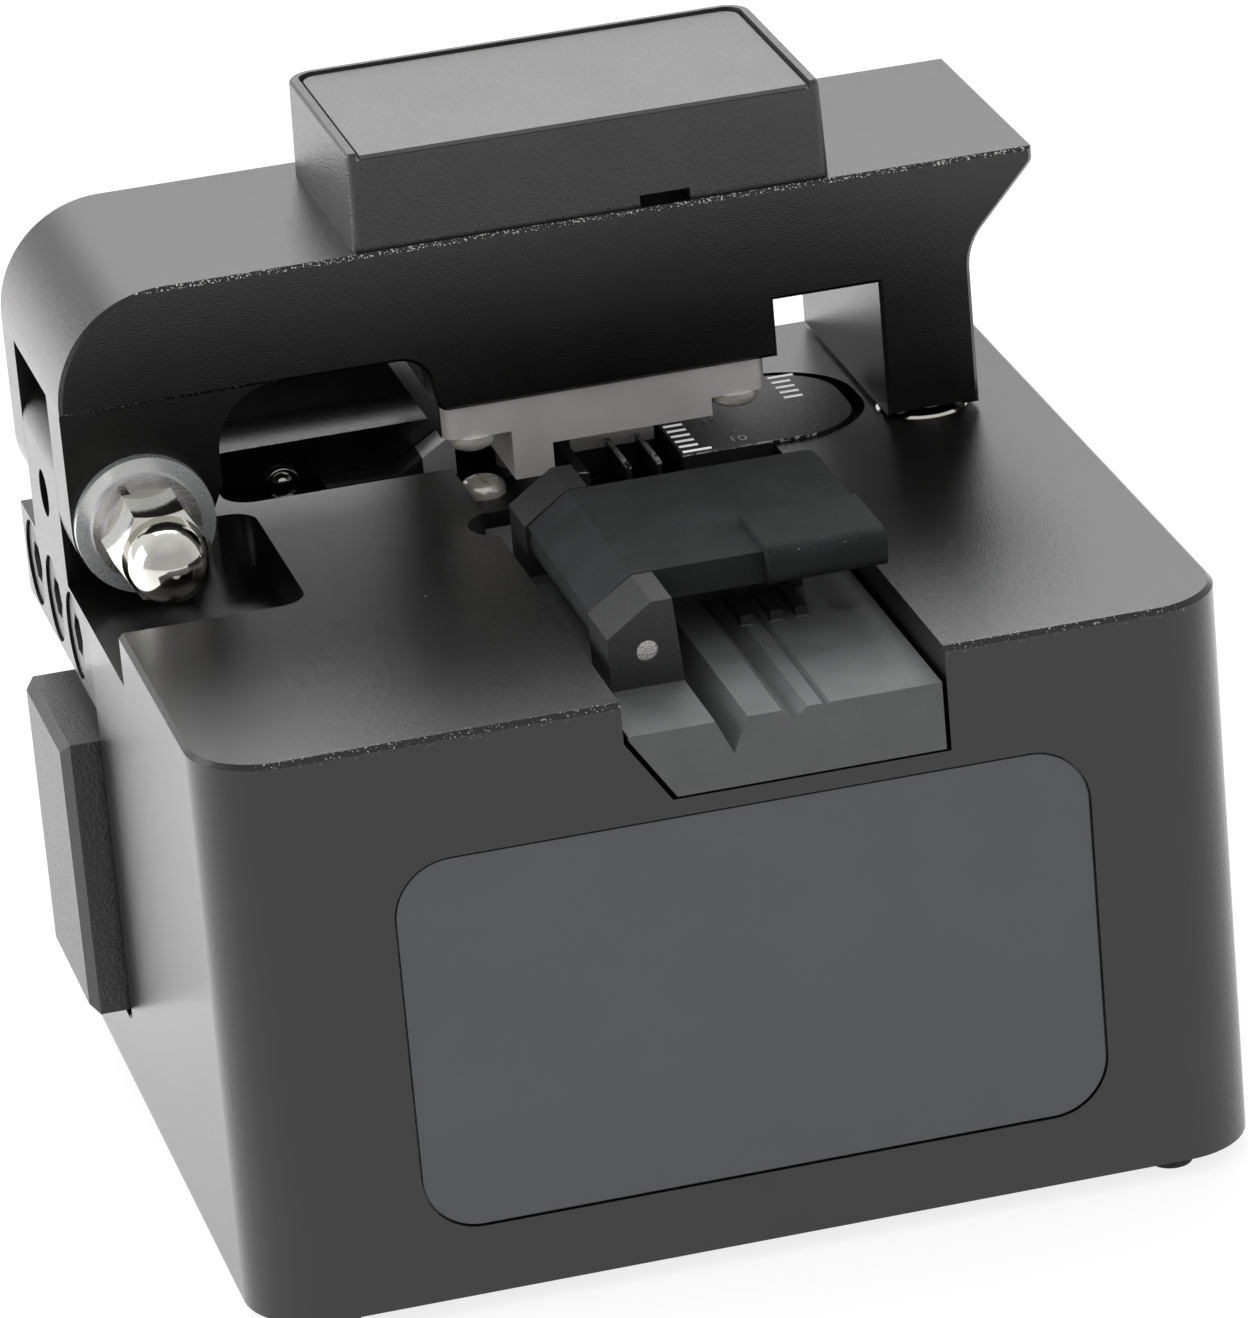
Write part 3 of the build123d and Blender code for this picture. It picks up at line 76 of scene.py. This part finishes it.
# %% [markdown]
# ## Light and floor
# The object is black, so its shape shows through what it reflects. The photograph has a bright room
# behind it and at its left, which makes the top faces and the left side shine, and a weaker one in
# front. One lamp behind and above throws the lever's soft shadow forward on the deck. The background
# and the floor look white to the camera, and the floor keeps the soft shadow under the body.


# %% Helper for light that depends on the ray
def shader_if(tree, ray, otherwise, then):
    """One shader for rays of a kind, and another one for the rest."""
    mix = tree.nodes.new("ShaderNodeMixShader")
    tree.links.new(ray, mix.inputs[0])
    tree.links.new(otherwise.outputs[0], mix.inputs[1])
    tree.links.new(then.outputs[0], mix.inputs[2])
    return mix


# %% World
ROOM_LIGHT = 0.85
world = bpy.data.worlds.new("studio")
bpy.context.scene.world = world
world.use_nodes = True
world_tree = world.node_tree
world_nodes = world_tree.nodes
world_links = world_tree.links
room = world_nodes["Background"]
room.inputs["Color"].default_value = (1.0, 1.0, 1.0, 1.0)
room.inputs["Strength"].default_value = ROOM_LIGHT

# %% [markdown]
# A mirror-like surface sees another room than a dull one: bright at the back and overhead, dim low
# in front of the object, where the photographer stands. The camera itself sees plain white.

# %% World in reflections
DIM_ROOM, BRIGHT_BACK, BRIGHT_CEILING = 0.6, 1.1, 0.8
direction = world_nodes.new("ShaderNodeTexCoord")
direction_parts = world_nodes.new("ShaderNodeSeparateXYZ")
world_links.new(direction.outputs["Generated"], direction_parts.inputs[0])


def bright_towards(axis, dim_at, bright_at, most):
    """Strength of the mirrored room, from dim to its most along one axis of the direction."""
    ramp = world_nodes.new("ShaderNodeMapRange")
    ramp.inputs["From Min"].default_value = dim_at
    ramp.inputs["From Max"].default_value = bright_at
    ramp.inputs["To Min"].default_value = DIM_ROOM
    ramp.inputs["To Max"].default_value = most
    world_links.new(direction_parts.outputs[axis], ramp.inputs["Value"])
    return ramp.outputs["Result"]


brighter = world_nodes.new("ShaderNodeMath")
brighter.operation = "MAXIMUM"
world_links.new(bright_towards("Y", -0.5, 0.6, BRIGHT_BACK), brighter.inputs[0])
world_links.new(bright_towards("Z", 0.6, 0.95, BRIGHT_CEILING), brighter.inputs[1])
mirrored_room = world_nodes.new("ShaderNodeBackground")
world_links.new(brighter.outputs[0], mirrored_room.inputs["Strength"])
white = world_nodes.new("ShaderNodeBackground")
white.inputs["Color"].default_value = (1.0, 1.0, 1.0, 1.0)
white.inputs["Strength"].default_value = 1.0
world_ray = world_nodes.new("ShaderNodeLightPath")
world_if_glossy = shader_if(world_tree, world_ray.outputs["Is Glossy Ray"], room, mirrored_room)
world_if_camera = shader_if(world_tree, world_ray.outputs["Is Camera Ray"], world_if_glossy, white)
world_links.new(world_if_camera.outputs[0], world_nodes["World Output"].inputs["Surface"])
print("world has", len(world_nodes), "nodes")


# %% Lamps
def soft_lamp(name, place_mm, aim_mm, size_mm, watts):
    """A square area lamp that points at a spot, both given in millimetres."""
    data = bpy.data.lights.new(name, "AREA")
    data.shape = "SQUARE"
    data.size = size_mm * MM
    data.energy = watts
    lamp = bpy.data.objects.new(name, data)
    bpy.context.scene.collection.objects.link(lamp)
    place = Vector(place_mm) * MM
    aim = Vector(aim_mm) * MM - place
    lamp.matrix_world = Matrix.Translation(place) @ aim.to_track_quat("-Z", "Y").to_matrix().to_4x4()
    lamp.visible_camera = False
    return lamp


lamps = [
    soft_lamp("back_lamp", (40, 380, 420), (0, 0, 40), 420, 1.3),
    soft_lamp("left_lamp", (-460, 120, 160), (0, 0, 30), 300, 1.6),
]
print("lamps:", [lamp.name for lamp in lamps])

# %% Floor
floor_mesh = bpy.data.meshes.new("floor")
floor_bm = bmesh.new()
bmesh.ops.create_grid(floor_bm, x_segments=1, y_segments=1, size=2.0)
floor_bm.to_mesh(floor_mesh)
floor_bm.free()
floor = bpy.data.objects.new("floor", floor_mesh)
bpy.context.scene.collection.objects.link(floor)

# %% [markdown]
# The floor is lit from behind, so what the body mirrors of it grows brighter from front to back:
# the front face mirrors the floor before it, and the left face the floor behind it.

# %% Floor material
FLOOR_GREY, FLOOR_SHOWN = 0.3, 0.8
GLOW_FRONT, GLOW_BACK = 0.74, 1.35
GLOW_REACH = 60 * MM
floor_material = bpy.data.materials.new("pale_floor")
floor_material.use_nodes = True
tree = floor_material.node_tree
tree.nodes.clear()
paint = tree.nodes.new("ShaderNodeBsdfDiffuse")
paint.inputs["Color"].default_value = (FLOOR_GREY, FLOOR_GREY, FLOOR_GREY, 1.0)
floor_place = tree.nodes.new("ShaderNodeTexCoord")
floor_parts = tree.nodes.new("ShaderNodeSeparateXYZ")
tree.links.new(floor_place.outputs["Object"], floor_parts.inputs[0])
backwards = tree.nodes.new("ShaderNodeMapRange")
backwards.inputs["From Min"].default_value = -GLOW_REACH
backwards.inputs["From Max"].default_value = GLOW_REACH
backwards.inputs["To Min"].default_value = GLOW_FRONT
backwards.inputs["To Max"].default_value = GLOW_BACK
tree.links.new(floor_parts.outputs["Y"], backwards.inputs["Value"])
mirrored = tree.nodes.new("ShaderNodeEmission")
tree.links.new(backwards.outputs["Result"], mirrored.inputs["Strength"])
shown = tree.nodes.new("ShaderNodeEmission")
shown.inputs["Strength"].default_value = FLOOR_SHOWN
unlit = tree.nodes.new("ShaderNodeEmission")
unlit.inputs["Strength"].default_value = 0.0
floor_ray = tree.nodes.new("ShaderNodeLightPath")
if_glossy = shader_if(tree, floor_ray.outputs["Is Glossy Ray"], unlit, mirrored)
if_camera = shader_if(tree, floor_ray.outputs["Is Camera Ray"], if_glossy, shown)
both = tree.nodes.new("ShaderNodeAddShader")
tree.links.new(paint.outputs[0], both.inputs[0])
tree.links.new(if_camera.outputs[0], both.inputs[1])
floor_out = tree.nodes.new("ShaderNodeOutputMaterial")
tree.links.new(both.outputs[0], floor_out.inputs["Surface"])
floor_mesh.materials.append(floor_material)
print("floor material has", len(tree.nodes), "nodes")

# %% [markdown]
# ## Finishes
# Every finish is a Principled shader with a little structure from noise in object coordinates:
# blotches change the colour and the gloss slowly, and fine grain gives the surface its tooth.
# One helper makes that base, so each finish below only says what is special about it.


# %% Helpers for colour and noise
def blend_of(tree, kind, a, b, factor):
    """A mix of two colours or numbers by a factor socket."""
    mix = tree.nodes.new("ShaderNodeMix")
    mix.data_type = kind
    tree.links.new(factor, mix.inputs["Factor"])
    slots = [s for s in mix.inputs if s.name in ("A", "B") and s.enabled]
    result = [s for s in mix.outputs if s.enabled][0]
    for slot, value in zip(slots, (a, b)):
        if isinstance(value, bpy.types.NodeSocket):
            tree.links.new(value, slot)
        else:
            slot.default_value = value
    return result


def noise_of(tree, place, size_mm, detail=2.0, low=0.35, high=0.65):
    """Noise from 0 to 1 whose blotches are about size_mm across."""
    noise = tree.nodes.new("ShaderNodeTexNoise")
    noise.inputs["Scale"].default_value = 1.0 / (size_mm * MM)
    noise.inputs["Detail"].default_value = detail
    tree.links.new(place, noise.inputs["Vector"])
    spread = tree.nodes.new("ShaderNodeMapRange")
    spread.inputs["From Min"].default_value = low
    spread.inputs["From Max"].default_value = high
    tree.links.new(noise.outputs["Fac"], spread.inputs["Value"])
    return spread.outputs["Result"]


def arithmetic(tree, operation, a, b):
    """One step such as MULTIPLY or LESS_THAN on two sockets or numbers."""
    step = tree.nodes.new("ShaderNodeMath")
    step.operation = operation
    for slot, value in zip(step.inputs, (a, b)):
        if isinstance(value, bpy.types.NodeSocket):
            tree.links.new(value, slot)
        else:
            slot.default_value = value
    return step.outputs[0]


def place_and_parts(tree):
    """Where a point of the piece lies, whole and split into X, Y and Z."""
    place = tree.nodes.new("ShaderNodeTexCoord").outputs["Object"]
    split = tree.nodes.new("ShaderNodeSeparateXYZ")
    tree.links.new(place, split.inputs[0])
    return place, split.outputs


def grey(level, warm=0.0):
    """A linear grey; warm above 0 leans it to brown, below 0 to blue."""
    return (level * (1 + warm), level, level * (1 - warm), 1.0)


# %% Base of a finish
def finish(name, dark, light, metallic, gloss, grain_mm, grain_depth, blotch_mm=6.0, ior=1.5):
    """A surface between two colours and two roughness values, with a fine grain."""
    material = bpy.data.materials.new(name)
    material.use_nodes = True
    tree = material.node_tree
    shader = tree.nodes["Principled BSDF"]
    shader.inputs["Metallic"].default_value = metallic
    shader.inputs["IOR"].default_value = ior
    place = tree.nodes.new("ShaderNodeTexCoord").outputs["Object"]
    blotch = noise_of(tree, place, blotch_mm)
    tree.links.new(blend_of(tree, "RGBA", dark, light, blotch), shader.inputs["Base Color"])
    fine = noise_of(tree, place, grain_mm, low=0.3, high=0.7)
    tree.links.new(blend_of(tree, "FLOAT", gloss[0], gloss[1], fine), shader.inputs["Roughness"])
    bump = tree.nodes.new("ShaderNodeBump")
    bump.inputs["Strength"].default_value = grain_depth
    bump.inputs["Distance"].default_value = grain_mm * MM
    tree.links.new(fine, bump.inputs["Height"])
    tree.links.new(bump.outputs["Normal"], shader.inputs["Normal"])
    return material


# %% [markdown]
# ## Wear, dust and painted light
# Black anodising wears through first on sharp edges, where bright specks of metal show, and a dark
# surface always carries some pale dust. Both are laid over a finish afterwards, as are the painted
# highlights and shade: what feeds the shader's colour is mixed with another one where a mask says so.


# %% Helpers for wear, dust and painted light
def lay_over(material, mask, tone):
    """Mixes another colour over the finish where the mask is 1: wear and dust, and also painted
    highlights and painted shade.
    """
    tree = material.node_tree
    colour = tree.nodes["Principled BSDF"].inputs["Base Color"]
    under = colour.links[0].from_socket
    tree.links.new(blend_of(tree, "RGBA", under, tone, mask), colour)


def edge_wear_and_highlight(material, edge, tone, reach_mm, speck_mm, share, right_end_mm=100.0):
    """Bright specks along a straight edge, given as places on two axes in millimetres, up to an X; worn
    metal on some edges and a painted highlight on others.
    """
    tree = material.node_tree
    place, parts = place_and_parts(tree)
    away_from = []
    for axis, value in edge.items():
        offset = arithmetic(tree, "SUBTRACT", parts[axis], value * MM)
        away_from.append(arithmetic(tree, "ABSOLUTE", offset, 0.0))
    farthest = arithmetic(tree, "MAXIMUM", away_from[0], away_from[1])
    near = arithmetic(tree, "LESS_THAN", farthest, reach_mm * MM)
    kept = arithmetic(tree, "LESS_THAN", parts["X"], right_end_mm * MM)
    near = arithmetic(tree, "MULTIPLY", near, kept)
    specks = noise_of(tree, place, speck_mm, 3.0, 0.72 - 0.3 * share, 0.76 - 0.3 * share)
    lay_over(material, arithmetic(tree, "MULTIPLY", near, specks), tone)


def beyond(material, axis, side, place_mm, tone):
    """Another colour on everything below (LESS_THAN) or above (GREATER_THAN) a place on one axis."""
    tree = material.node_tree
    parts = place_and_parts(tree)[1]
    lay_over(material, arithmetic(tree, side, parts[axis], place_mm * MM), tone)


def painted_shade_below(material, low_mm, high_mm, level):
    """Lowers the mirror-like part of a finish below a height, softly between two heights, as painted
    shade.
    """
    tree = material.node_tree
    parts = place_and_parts(tree)[1]
    rise = tree.nodes.new("ShaderNodeMapRange")
    rise.inputs["From Min"].default_value = low_mm * MM
    rise.inputs["From Max"].default_value = high_mm * MM
    rise.inputs["To Min"].default_value = level
    mirror_part = tree.nodes["Principled BSDF"].inputs["Specular IOR Level"]
    rise.inputs["To Max"].default_value = mirror_part.default_value
    tree.links.new(parts["Z"], rise.inputs["Value"])
    tree.links.new(rise.outputs["Result"], mirror_part)


def dusty(material, tone, cell_mm, speck_mm, share):
    """Small round specks of dust in a share of the cells."""
    tree = material.node_tree
    place = tree.nodes.new("ShaderNodeTexCoord").outputs["Object"]
    cells = tree.nodes.new("ShaderNodeTexVoronoi")
    cells.inputs["Scale"].default_value = 1.0 / (cell_mm * MM)
    tree.links.new(place, cells.inputs["Vector"])
    inside = arithmetic(tree, "LESS_THAN", cells.outputs["Distance"], speck_mm / cell_mm)
    chosen = arithmetic(tree, "LESS_THAN", cells.outputs["Color"], share)
    lay_over(material, arithmetic(tree, "MULTIPLY", inside, chosen), tone)


# %% [markdown]
# ## The black parts
# Black anodised aluminium is a dyed, porous oxide, so it gets a refractive index a little below that
# of solid aluminium oxide: it shines much at a shallow angle and stays black when looked at straight.
# Its grain is so fine that the deck still shows a soft mirror image of the lever. The lever's upper
# front edge, the left of its lower step and the deck's front edge are worn bright. The lever's front
# mirrors less the lower it goes, because the photograph shows it nearly black just over the deck.

# %% Black anodised metal
OXIDE = 1.6
LEFT, FRONT, BASE = -34.3, -30.0, 1.2
DECK = BASE + 36.7
LEVER_FRONT, LEVER_STEP, LEVER_TOP = FRONT + 38.5, DECK + 9.5, DECK + 17.0
STEP_WORN_TO = LEFT + 14.0
GUIDE_TOP = BASE + 36.9
body_black = finish(
    "body_black", grey(0.003, 0.05), grey(0.006, 0.05),
    metallic=0.0, gloss=(0.18, 0.27), grain_mm=0.12, grain_depth=0.13, blotch_mm=5.0, ior=OXIDE
)
lever_black = finish(
    "lever_black", grey(0.003, 0.08), grey(0.005, 0.08),
    metallic=0.0, gloss=(0.15, 0.24), grain_mm=0.1, grain_depth=0.15, blotch_mm=4.0, ior=OXIDE
)
inner_black = finish(
    "inner_black", grey(0.007), grey(0.011),
    metallic=0.0, gloss=(0.36, 0.48), grain_mm=0.12, grain_depth=0.15, blotch_mm=3.0, ior=1.35
)
worn_metal = grey(0.6, 0.02)
lever_top_edge = {"Y": LEVER_FRONT, "Z": LEVER_TOP}
edge_wear_and_highlight(lever_black, lever_top_edge, worn_metal, reach_mm=0.25, speck_mm=0.14, share=0.45)
edge_wear_and_highlight(
    lever_black, {"Y": LEVER_FRONT, "Z": LEVER_STEP}, worn_metal,
    reach_mm=0.2, speck_mm=0.12, share=0.36, right_end_mm=STEP_WORN_TO
)
edge_wear_and_highlight(body_black, {"Y": FRONT, "Z": DECK}, grey(0.45, 0.02), reach_mm=0.5, speck_mm=0.15, share=0.26)
# Painted highlights: unbroken light lines along the anvil's two ridge tops and the guide's front edge,
# standing in for the light these edges catch.
ridge_highlight_tone = grey(0.3, 0.02)
for ridge_x in (36.0, 38.0):
    lit_ridge_edge = {"X": LEFT + ridge_x, "Z": GUIDE_TOP}
    edge_wear_and_highlight(inner_black, lit_ridge_edge, ridge_highlight_tone, reach_mm=0.2, speck_mm=0.5, share=1.0)
lit_guide_front_edge = {"Y": FRONT + 38.2, "Z": GUIDE_TOP}
edge_wear_and_highlight(inner_black, lit_guide_front_edge, ridge_highlight_tone, reach_mm=0.16, speck_mm=0.4, share=0.8)
# Painted shade: the lever's front mirrors less near the deck, standing in for the dark deck it reflects
# there.
painted_shade_below(lever_black, LEVER_STEP - 1.0, LEVER_TOP, level=0.2)
pale_dust = grey(0.22, 0.05)
dusty(body_black, pale_dust, cell_mm=2.6, speck_mm=0.09, share=0.12)
dusty(lever_black, pale_dust, cell_mm=2.2, speck_mm=0.08, share=0.12)

# %% Black plastic, film and rubber
panel_film = finish(
    "panel_film", grey(0.11, -0.04), grey(0.115, -0.04),
    metallic=0.0, gloss=(0.4, 0.5), grain_mm=0.2, grain_depth=0.08
)
dusty(panel_film, grey(0.3), cell_mm=3.0, speck_mm=0.08, share=0.15)
cover_plastic = finish(
    "cover_plastic", grey(0.022, 0.02), grey(0.028, 0.02),
    metallic=0.0, gloss=(0.3, 0.42), grain_mm=0.15, grain_depth=0.2, blotch_mm=5.0, ior=1.7
)
plate_plastic = finish(
    "plate_plastic", grey(0.045, 0.01), grey(0.055, 0.01),
    metallic=0.0, gloss=(0.28, 0.4), grain_mm=0.15, grain_depth=0.15, blotch_mm=5.0, ior=1.8
)
pad_plastic = finish(
    "pad_plastic", grey(0.008), grey(0.014),
    metallic=0.0, gloss=(0.34, 0.46), grain_mm=0.2, grain_depth=0.1, blotch_mm=4.0, ior=1.7
)
holder_plastic = finish(
    "holder_plastic", grey(0.11, -0.02), grey(0.13, -0.02),
    metallic=0.0, gloss=(0.42, 0.54), grain_mm=0.15, grain_depth=0.15, blotch_mm=3.0, ior=1.5
)
flap_plastic = finish(
    "flap_plastic", grey(0.02, -0.04), grey(0.026, -0.04),
    metallic=0.0, gloss=(0.66, 0.8), grain_mm=0.15, grain_depth=0.2, blotch_mm=3.0, ior=1.25
)
rubber = finish(
    "rubber", grey(0.012), grey(0.02),
    metallic=0.0, gloss=(0.7, 0.85), grain_mm=0.3, grain_depth=0.3
)
dusty(holder_plastic, grey(0.25), cell_mm=1.6, speck_mm=0.07, share=0.1)
dusty(flap_plastic, grey(0.25), cell_mm=1.4, speck_mm=0.07, share=0.14)
flap_front_edge = {"Y": FRONT + 10.8, "Z": BASE + 40.5}
edge_wear_and_highlight(flap_plastic, flap_front_edge, grey(0.3, -0.02), reach_mm=0.5, speck_mm=0.12, share=0.12)

# %% [markdown]
# ## The bright parts
# The turned steel parts keep fine circular tool marks in real life; at this size they read as a soft
# satin. The nut and the small screws are nickel plated: nearly a mirror, a little warm. The screws are
# duller than the nut, and the strip in the pocket is blued nearly black.

# %% Bright metals
grey_aluminium = finish(
    "grey_aluminium", grey(0.62, 0.03), grey(0.72, 0.03),
    metallic=0.5, gloss=(0.4, 0.5), grain_mm=0.12, grain_depth=0.06, blotch_mm=4.0
)
steel = finish(
    "steel", grey(0.5, 0.02), grey(0.62, 0.02),
    metallic=1.0, gloss=(0.26, 0.4), grain_mm=0.15, grain_depth=0.1, blotch_mm=2.0
)
washer_steel = finish(
    "washer_steel", grey(0.88, -0.02), grey(0.95, -0.02),
    metallic=0.8, gloss=(0.26, 0.3), grain_mm=0.3, grain_depth=0.006, blotch_mm=2.0
)
dark_steel = finish(
    "dark_steel", grey(0.1), grey(0.14),
    metallic=0.8, gloss=(0.3, 0.45), grain_mm=0.2, grain_depth=0.1, blotch_mm=2.0
)
warm_white = (0.78, 0.765, 0.7, 1.0)
bright_nickel = finish(
    "bright_nickel", (0.7, 0.69, 0.63, 1.0), warm_white,
    metallic=1.0, gloss=(0.06, 0.1), grain_mm=0.3, grain_depth=0.004, blotch_mm=2.0
)
screw_nickel = finish(
    "screw_nickel", warm_white, (0.9, 0.87, 0.76, 1.0),
    metallic=0.6, gloss=(0.2, 0.26), grain_mm=0.3, grain_depth=0.004, blotch_mm=1.0
)
ramp_steel = finish(
    "ramp_steel", grey(0.03), grey(0.05),
    metallic=0.3, gloss=(0.4, 0.5), grain_mm=0.3, grain_depth=0.02, blotch_mm=1.0
)

# %% [markdown]
# Three finishes have a part in another tone that is painted light and shade: the clamp plate's left
# side gets painted shade, as black as the lever round it; the right end of the dark steel strip, a
# wedge, gets a painted highlight; and the holder's ears get painted shade, as dark as the flap between
# them.

# %% Parts in painted shade and painted highlight
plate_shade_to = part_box("upper_clamp_plate")[0].x / MM + 0.05
wedge_highlight_from = LEFT + 25.2
ears_shade_from = DECK - 2.1
# Painted shade: the plate's left side is made black, standing in for the shadow on it.
beyond(grey_aluminium, "X", "LESS_THAN", plate_shade_to, grey(0.01))
# Painted highlight: the wedge's facet is made near white, standing in for the light it catches.
beyond(ramp_steel, "X", "GREATER_THAN", wedge_highlight_from, grey(0.95))
# Painted shade: the ears are made darker above this height, standing in for the dark reflection they
# catch.
beyond(holder_plastic, "Z", "GREATER_THAN", ears_shade_from, grey(0.02, -0.03))
print("finishes:", len(bpy.data.materials))

# %% [markdown]
# ## Which finish each CAD piece gets
# Every CAD piece is named once. The plastic pieces each get their own black, because wear and gloss
# differ between them.

# %% Give the CAD pieces their finishes
wearers = {
    body_black: ["main_housing", "bottom_cover"],
    lever_black: ["lever_arm", "hinge_bracket"],
    inner_black: ["anvil_plate", "rear_anvil", "carriage_block"],
    grey_aluminium: ["upper_clamp_plate"],
    panel_film: ["front_panel"],
    cover_plastic: ["lever_cover"],
    plate_plastic: ["cover_plate"],
    pad_plastic: ["left_push_pad", "right_push_pad"],
    holder_plastic: ["fibre_holder"],
    flap_plastic: ["clamp_flap"],
    rubber: ["rubber_feet", "upper_clamp_pads", "lower_clamp_pads", "flap_pad"],
    steel: ["bottom_cover_screws", "hinge_pin", "small_washer", "spring_washer", "carriage_rail",
            "blade_axle", "flap_button", "flap_pin"],
    washer_steel: ["hinge_washer"],
    dark_steel: ["bracket_screws", "hinge_grub_screw", "rail_screws", "holder_magnet"],
    bright_nickel: ["cap_nut", "jam_nut", "keeper_disc", "lever_magnet", "pocket_stud", "blade_wheel"],
    screw_nickel: ["clamp_plate_screws", "anvil_screw", "rear_anvil_screws"],
    ramp_steel: ["ramp_strip"],
}
for material, names in wearers.items():
    for name in names:
        nodes[name].data.materials.clear()
        nodes[name].data.materials.append(material)


def soften(name, width_mm):
    """A small bevel along a CAD piece's sharp edges, so that they catch the light."""
    edge = nodes[name].modifiers.new("soft_edges", "BEVEL")
    edge.width = width_mm * MM
    edge.segments = 2
    edge.limit_method = "ANGLE"
    edge.angle_limit = math.radians(35)


for name in ("clamp_flap", "fibre_holder", "anvil_plate"):
    soften(name, 0.12)
bare = [name for name in nodes if not any(name in names for names in wearers.values())]
print("nodes without a finish:", bare)

# %% [markdown]
# ## Pieces made here
# Small pieces are made in a bmesh, in millimetres and in their final place, then shrunk to metres.
# This helper turns such a bmesh into an object that rides on a CAD body.


# %% Helper for new pieces
def spot(x, y, z):
    """A point given from the body's left front lower corner, as a place in millimetres."""
    return Vector((LEFT + x, FRONT + y, BASE + z))


def make_piece(name, bm, material, body, smooth=True):
    """Turns a bmesh in millimetres into a finished piece riding on a body."""
    bmesh.ops.remove_doubles(bm, verts=bm.verts, dist=1e-4)
    bmesh.ops.recalc_face_normals(bm, faces=bm.faces)
    bmesh.ops.scale(bm, vec=(MM, MM, MM), verts=bm.verts)
    mesh = bpy.data.meshes.new(name)
    bm.to_mesh(mesh)
    bm.free()
    mesh.materials.append(material)
    for polygon in mesh.polygons:
        polygon.use_smooth = smooth
    piece = bpy.data.objects.new(name, mesh)
    bpy.context.scene.collection.objects.link(piece)
    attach(piece, body)
    return piece


# %% [markdown]
# ## Ruler marks
# The anvil plate carries two short rulers with a mark every millimetre, printed in white. Each mark
# is a very thin block set on the plate; the front mark of the first ruler is the longest. The white
# glows a little, as it stays bright in the lever's shadow on the photograph.

# %% Ruler marks
mark_white = finish(
    "mark_white", grey(0.8), grey(0.9),
    metallic=0.0, gloss=(0.5, 0.6), grain_mm=0.2, grain_depth=0.05, blotch_mm=0.5
)
MARK_GLOW = 0.4
mark_white.node_tree.nodes["Principled BSDF"].inputs["Emission Strength"].default_value = MARK_GLOW
PLATE_TOP = 36.9


def add_mark(bm, low, size):
    """A thin block from its lowest corner."""
    cube = bmesh.ops.create_cube(bm, size=1.0)
    bmesh.ops.scale(bm, vec=size, verts=cube["verts"])
    bmesh.ops.translate(bm, vec=low + Vector(size) / 2, verts=cube["verts"])


marks = bmesh.new()
mark_width, mark_height, pitch = 0.3, 0.03, 1.0
for step in range(6):
    length = 1.9 if step == 0 else 1.25
    add_mark(marks, spot(39.8, 38.7 + step * pitch, PLATE_TOP), (length, mark_width, mark_height))
for step in range(5):
    length = 1.7 if step == 4 else 1.25
    add_mark(marks, spot(48.4, 45.4 + step * pitch, PLATE_TOP), (length, mark_width, mark_height))
make_piece("scale_marks", marks, mark_white, "base", smooth=False)
print("ruler marks: 11")

# %% [markdown]
# ## Ruler numbers
# A plain number in millimetres stands beside the first ruler at each of its ends. Blender's built-in
# font gives the digits a little thickness, and the text becomes an ordinary closed mesh.

# %% Ruler numbers
number_grey = finish(
    "number_grey", grey(0.3), grey(0.5),
    metallic=0.0, gloss=(0.5, 0.6), grain_mm=0.2, grain_depth=0.05, blotch_mm=0.4
)
numbers = bmesh.new()
digits_height, digits_thickness = 1.3, 0.015
for text, x, y in (("10", 43.0, 39.2), ("15", 42.2, 43.4)):
    curve = bpy.data.curves.new("digits_" + text, "FONT")
    curve.body = text
    curve.size = digits_height
    curve.extrude = digits_thickness
    writer = bpy.data.objects.new("digits_" + text, curve)
    outline = writer.to_mesh()
    outline.transform(Matrix.Translation(spot(x, y, PLATE_TOP + digits_thickness)))
    numbers.from_mesh(outline)
    writer.to_mesh_clear()
    bpy.data.objects.remove(writer)
    bpy.data.curves.remove(curve)
make_piece("scale_numbers", numbers, number_grey, "base", smooth=False)
print("ruler numbers: 2")

# %% [markdown]
# ## Round pieces: the pocket's stud and the feet
# The bright stud in the pocket's back wall has a flat rim, a fine groove and a low dome, and it takes
# the place of the CAD model's plain stud. The feet are small rubber buttons: the photograph shows one
# at the front right, close to the front edge, so the four of them take the place of the plain feet.
# Both are outlines of (radius, distance along the axis) pairs that are spun round.


# %% Helper for round pieces
def spin_outline(bm, outline, start, axis, steps=48):
    """Spins an open outline round an axis; its first point lies at the start place."""
    side = Vector((1, 0, 0))
    corners = [bm.verts.new(start + side * radius + axis * along) for radius, along in outline]
    edges = [bm.edges.new(pair) for pair in zip(corners, corners[1:])]
    bmesh.ops.spin(
        bm, geom=corners + edges, cent=start, axis=axis, angle=math.tau, steps=steps, use_merge=True
    )


# %% Stud
stud_low, stud_high = [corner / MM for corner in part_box("pocket_stud")]
stud_middle = (stud_low + stud_high) / 2
stud_depth = stud_high.y - stud_low.y
stud_outline = [
    (0.0, 0.0), (0.3, 0.03), (0.55, 0.13), (0.75, 0.3), (0.8, 0.42), (0.86, 0.42),
    (0.92, 0.3), (1.05, 0.28), (1.14, 0.33), (1.2, 0.42), (1.2, stud_depth), (0.0, stud_depth),
]
stud = bmesh.new()
stud_front = Vector((stud_middle.x, stud_low.y, stud_middle.z))
spin_outline(stud, stud_outline, stud_front, Vector((0, 1, 0)))
stud_face = make_piece("stud_face", stud, bright_nickel, "base")
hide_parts("pocket_stud")
print("faces of the stud:", len(stud_face.data.polygons))

# %% Feet
foot_outline = [(0.0, 0.0), (1.15, 0.0), (1.32, 0.06), (1.4, 0.22), (1.4, BASE), (0.0, BASE)]
foot_in_x, foot_in_y = 5.4, 2.8
body_width, body_depth = 64.0, 60.0
feet = bmesh.new()
for x in (foot_in_x, body_width - foot_in_x):
    for y in (foot_in_y, body_depth - foot_in_y):
        spin_outline(feet, foot_outline, spot(x, y, -BASE), Vector((0, 0, 1)), steps=32)
small_feet = make_piece("small_feet", feet, rubber, "base")
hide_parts("rubber_feet")
print("faces of the feet:", len(small_feet.data.polygons))
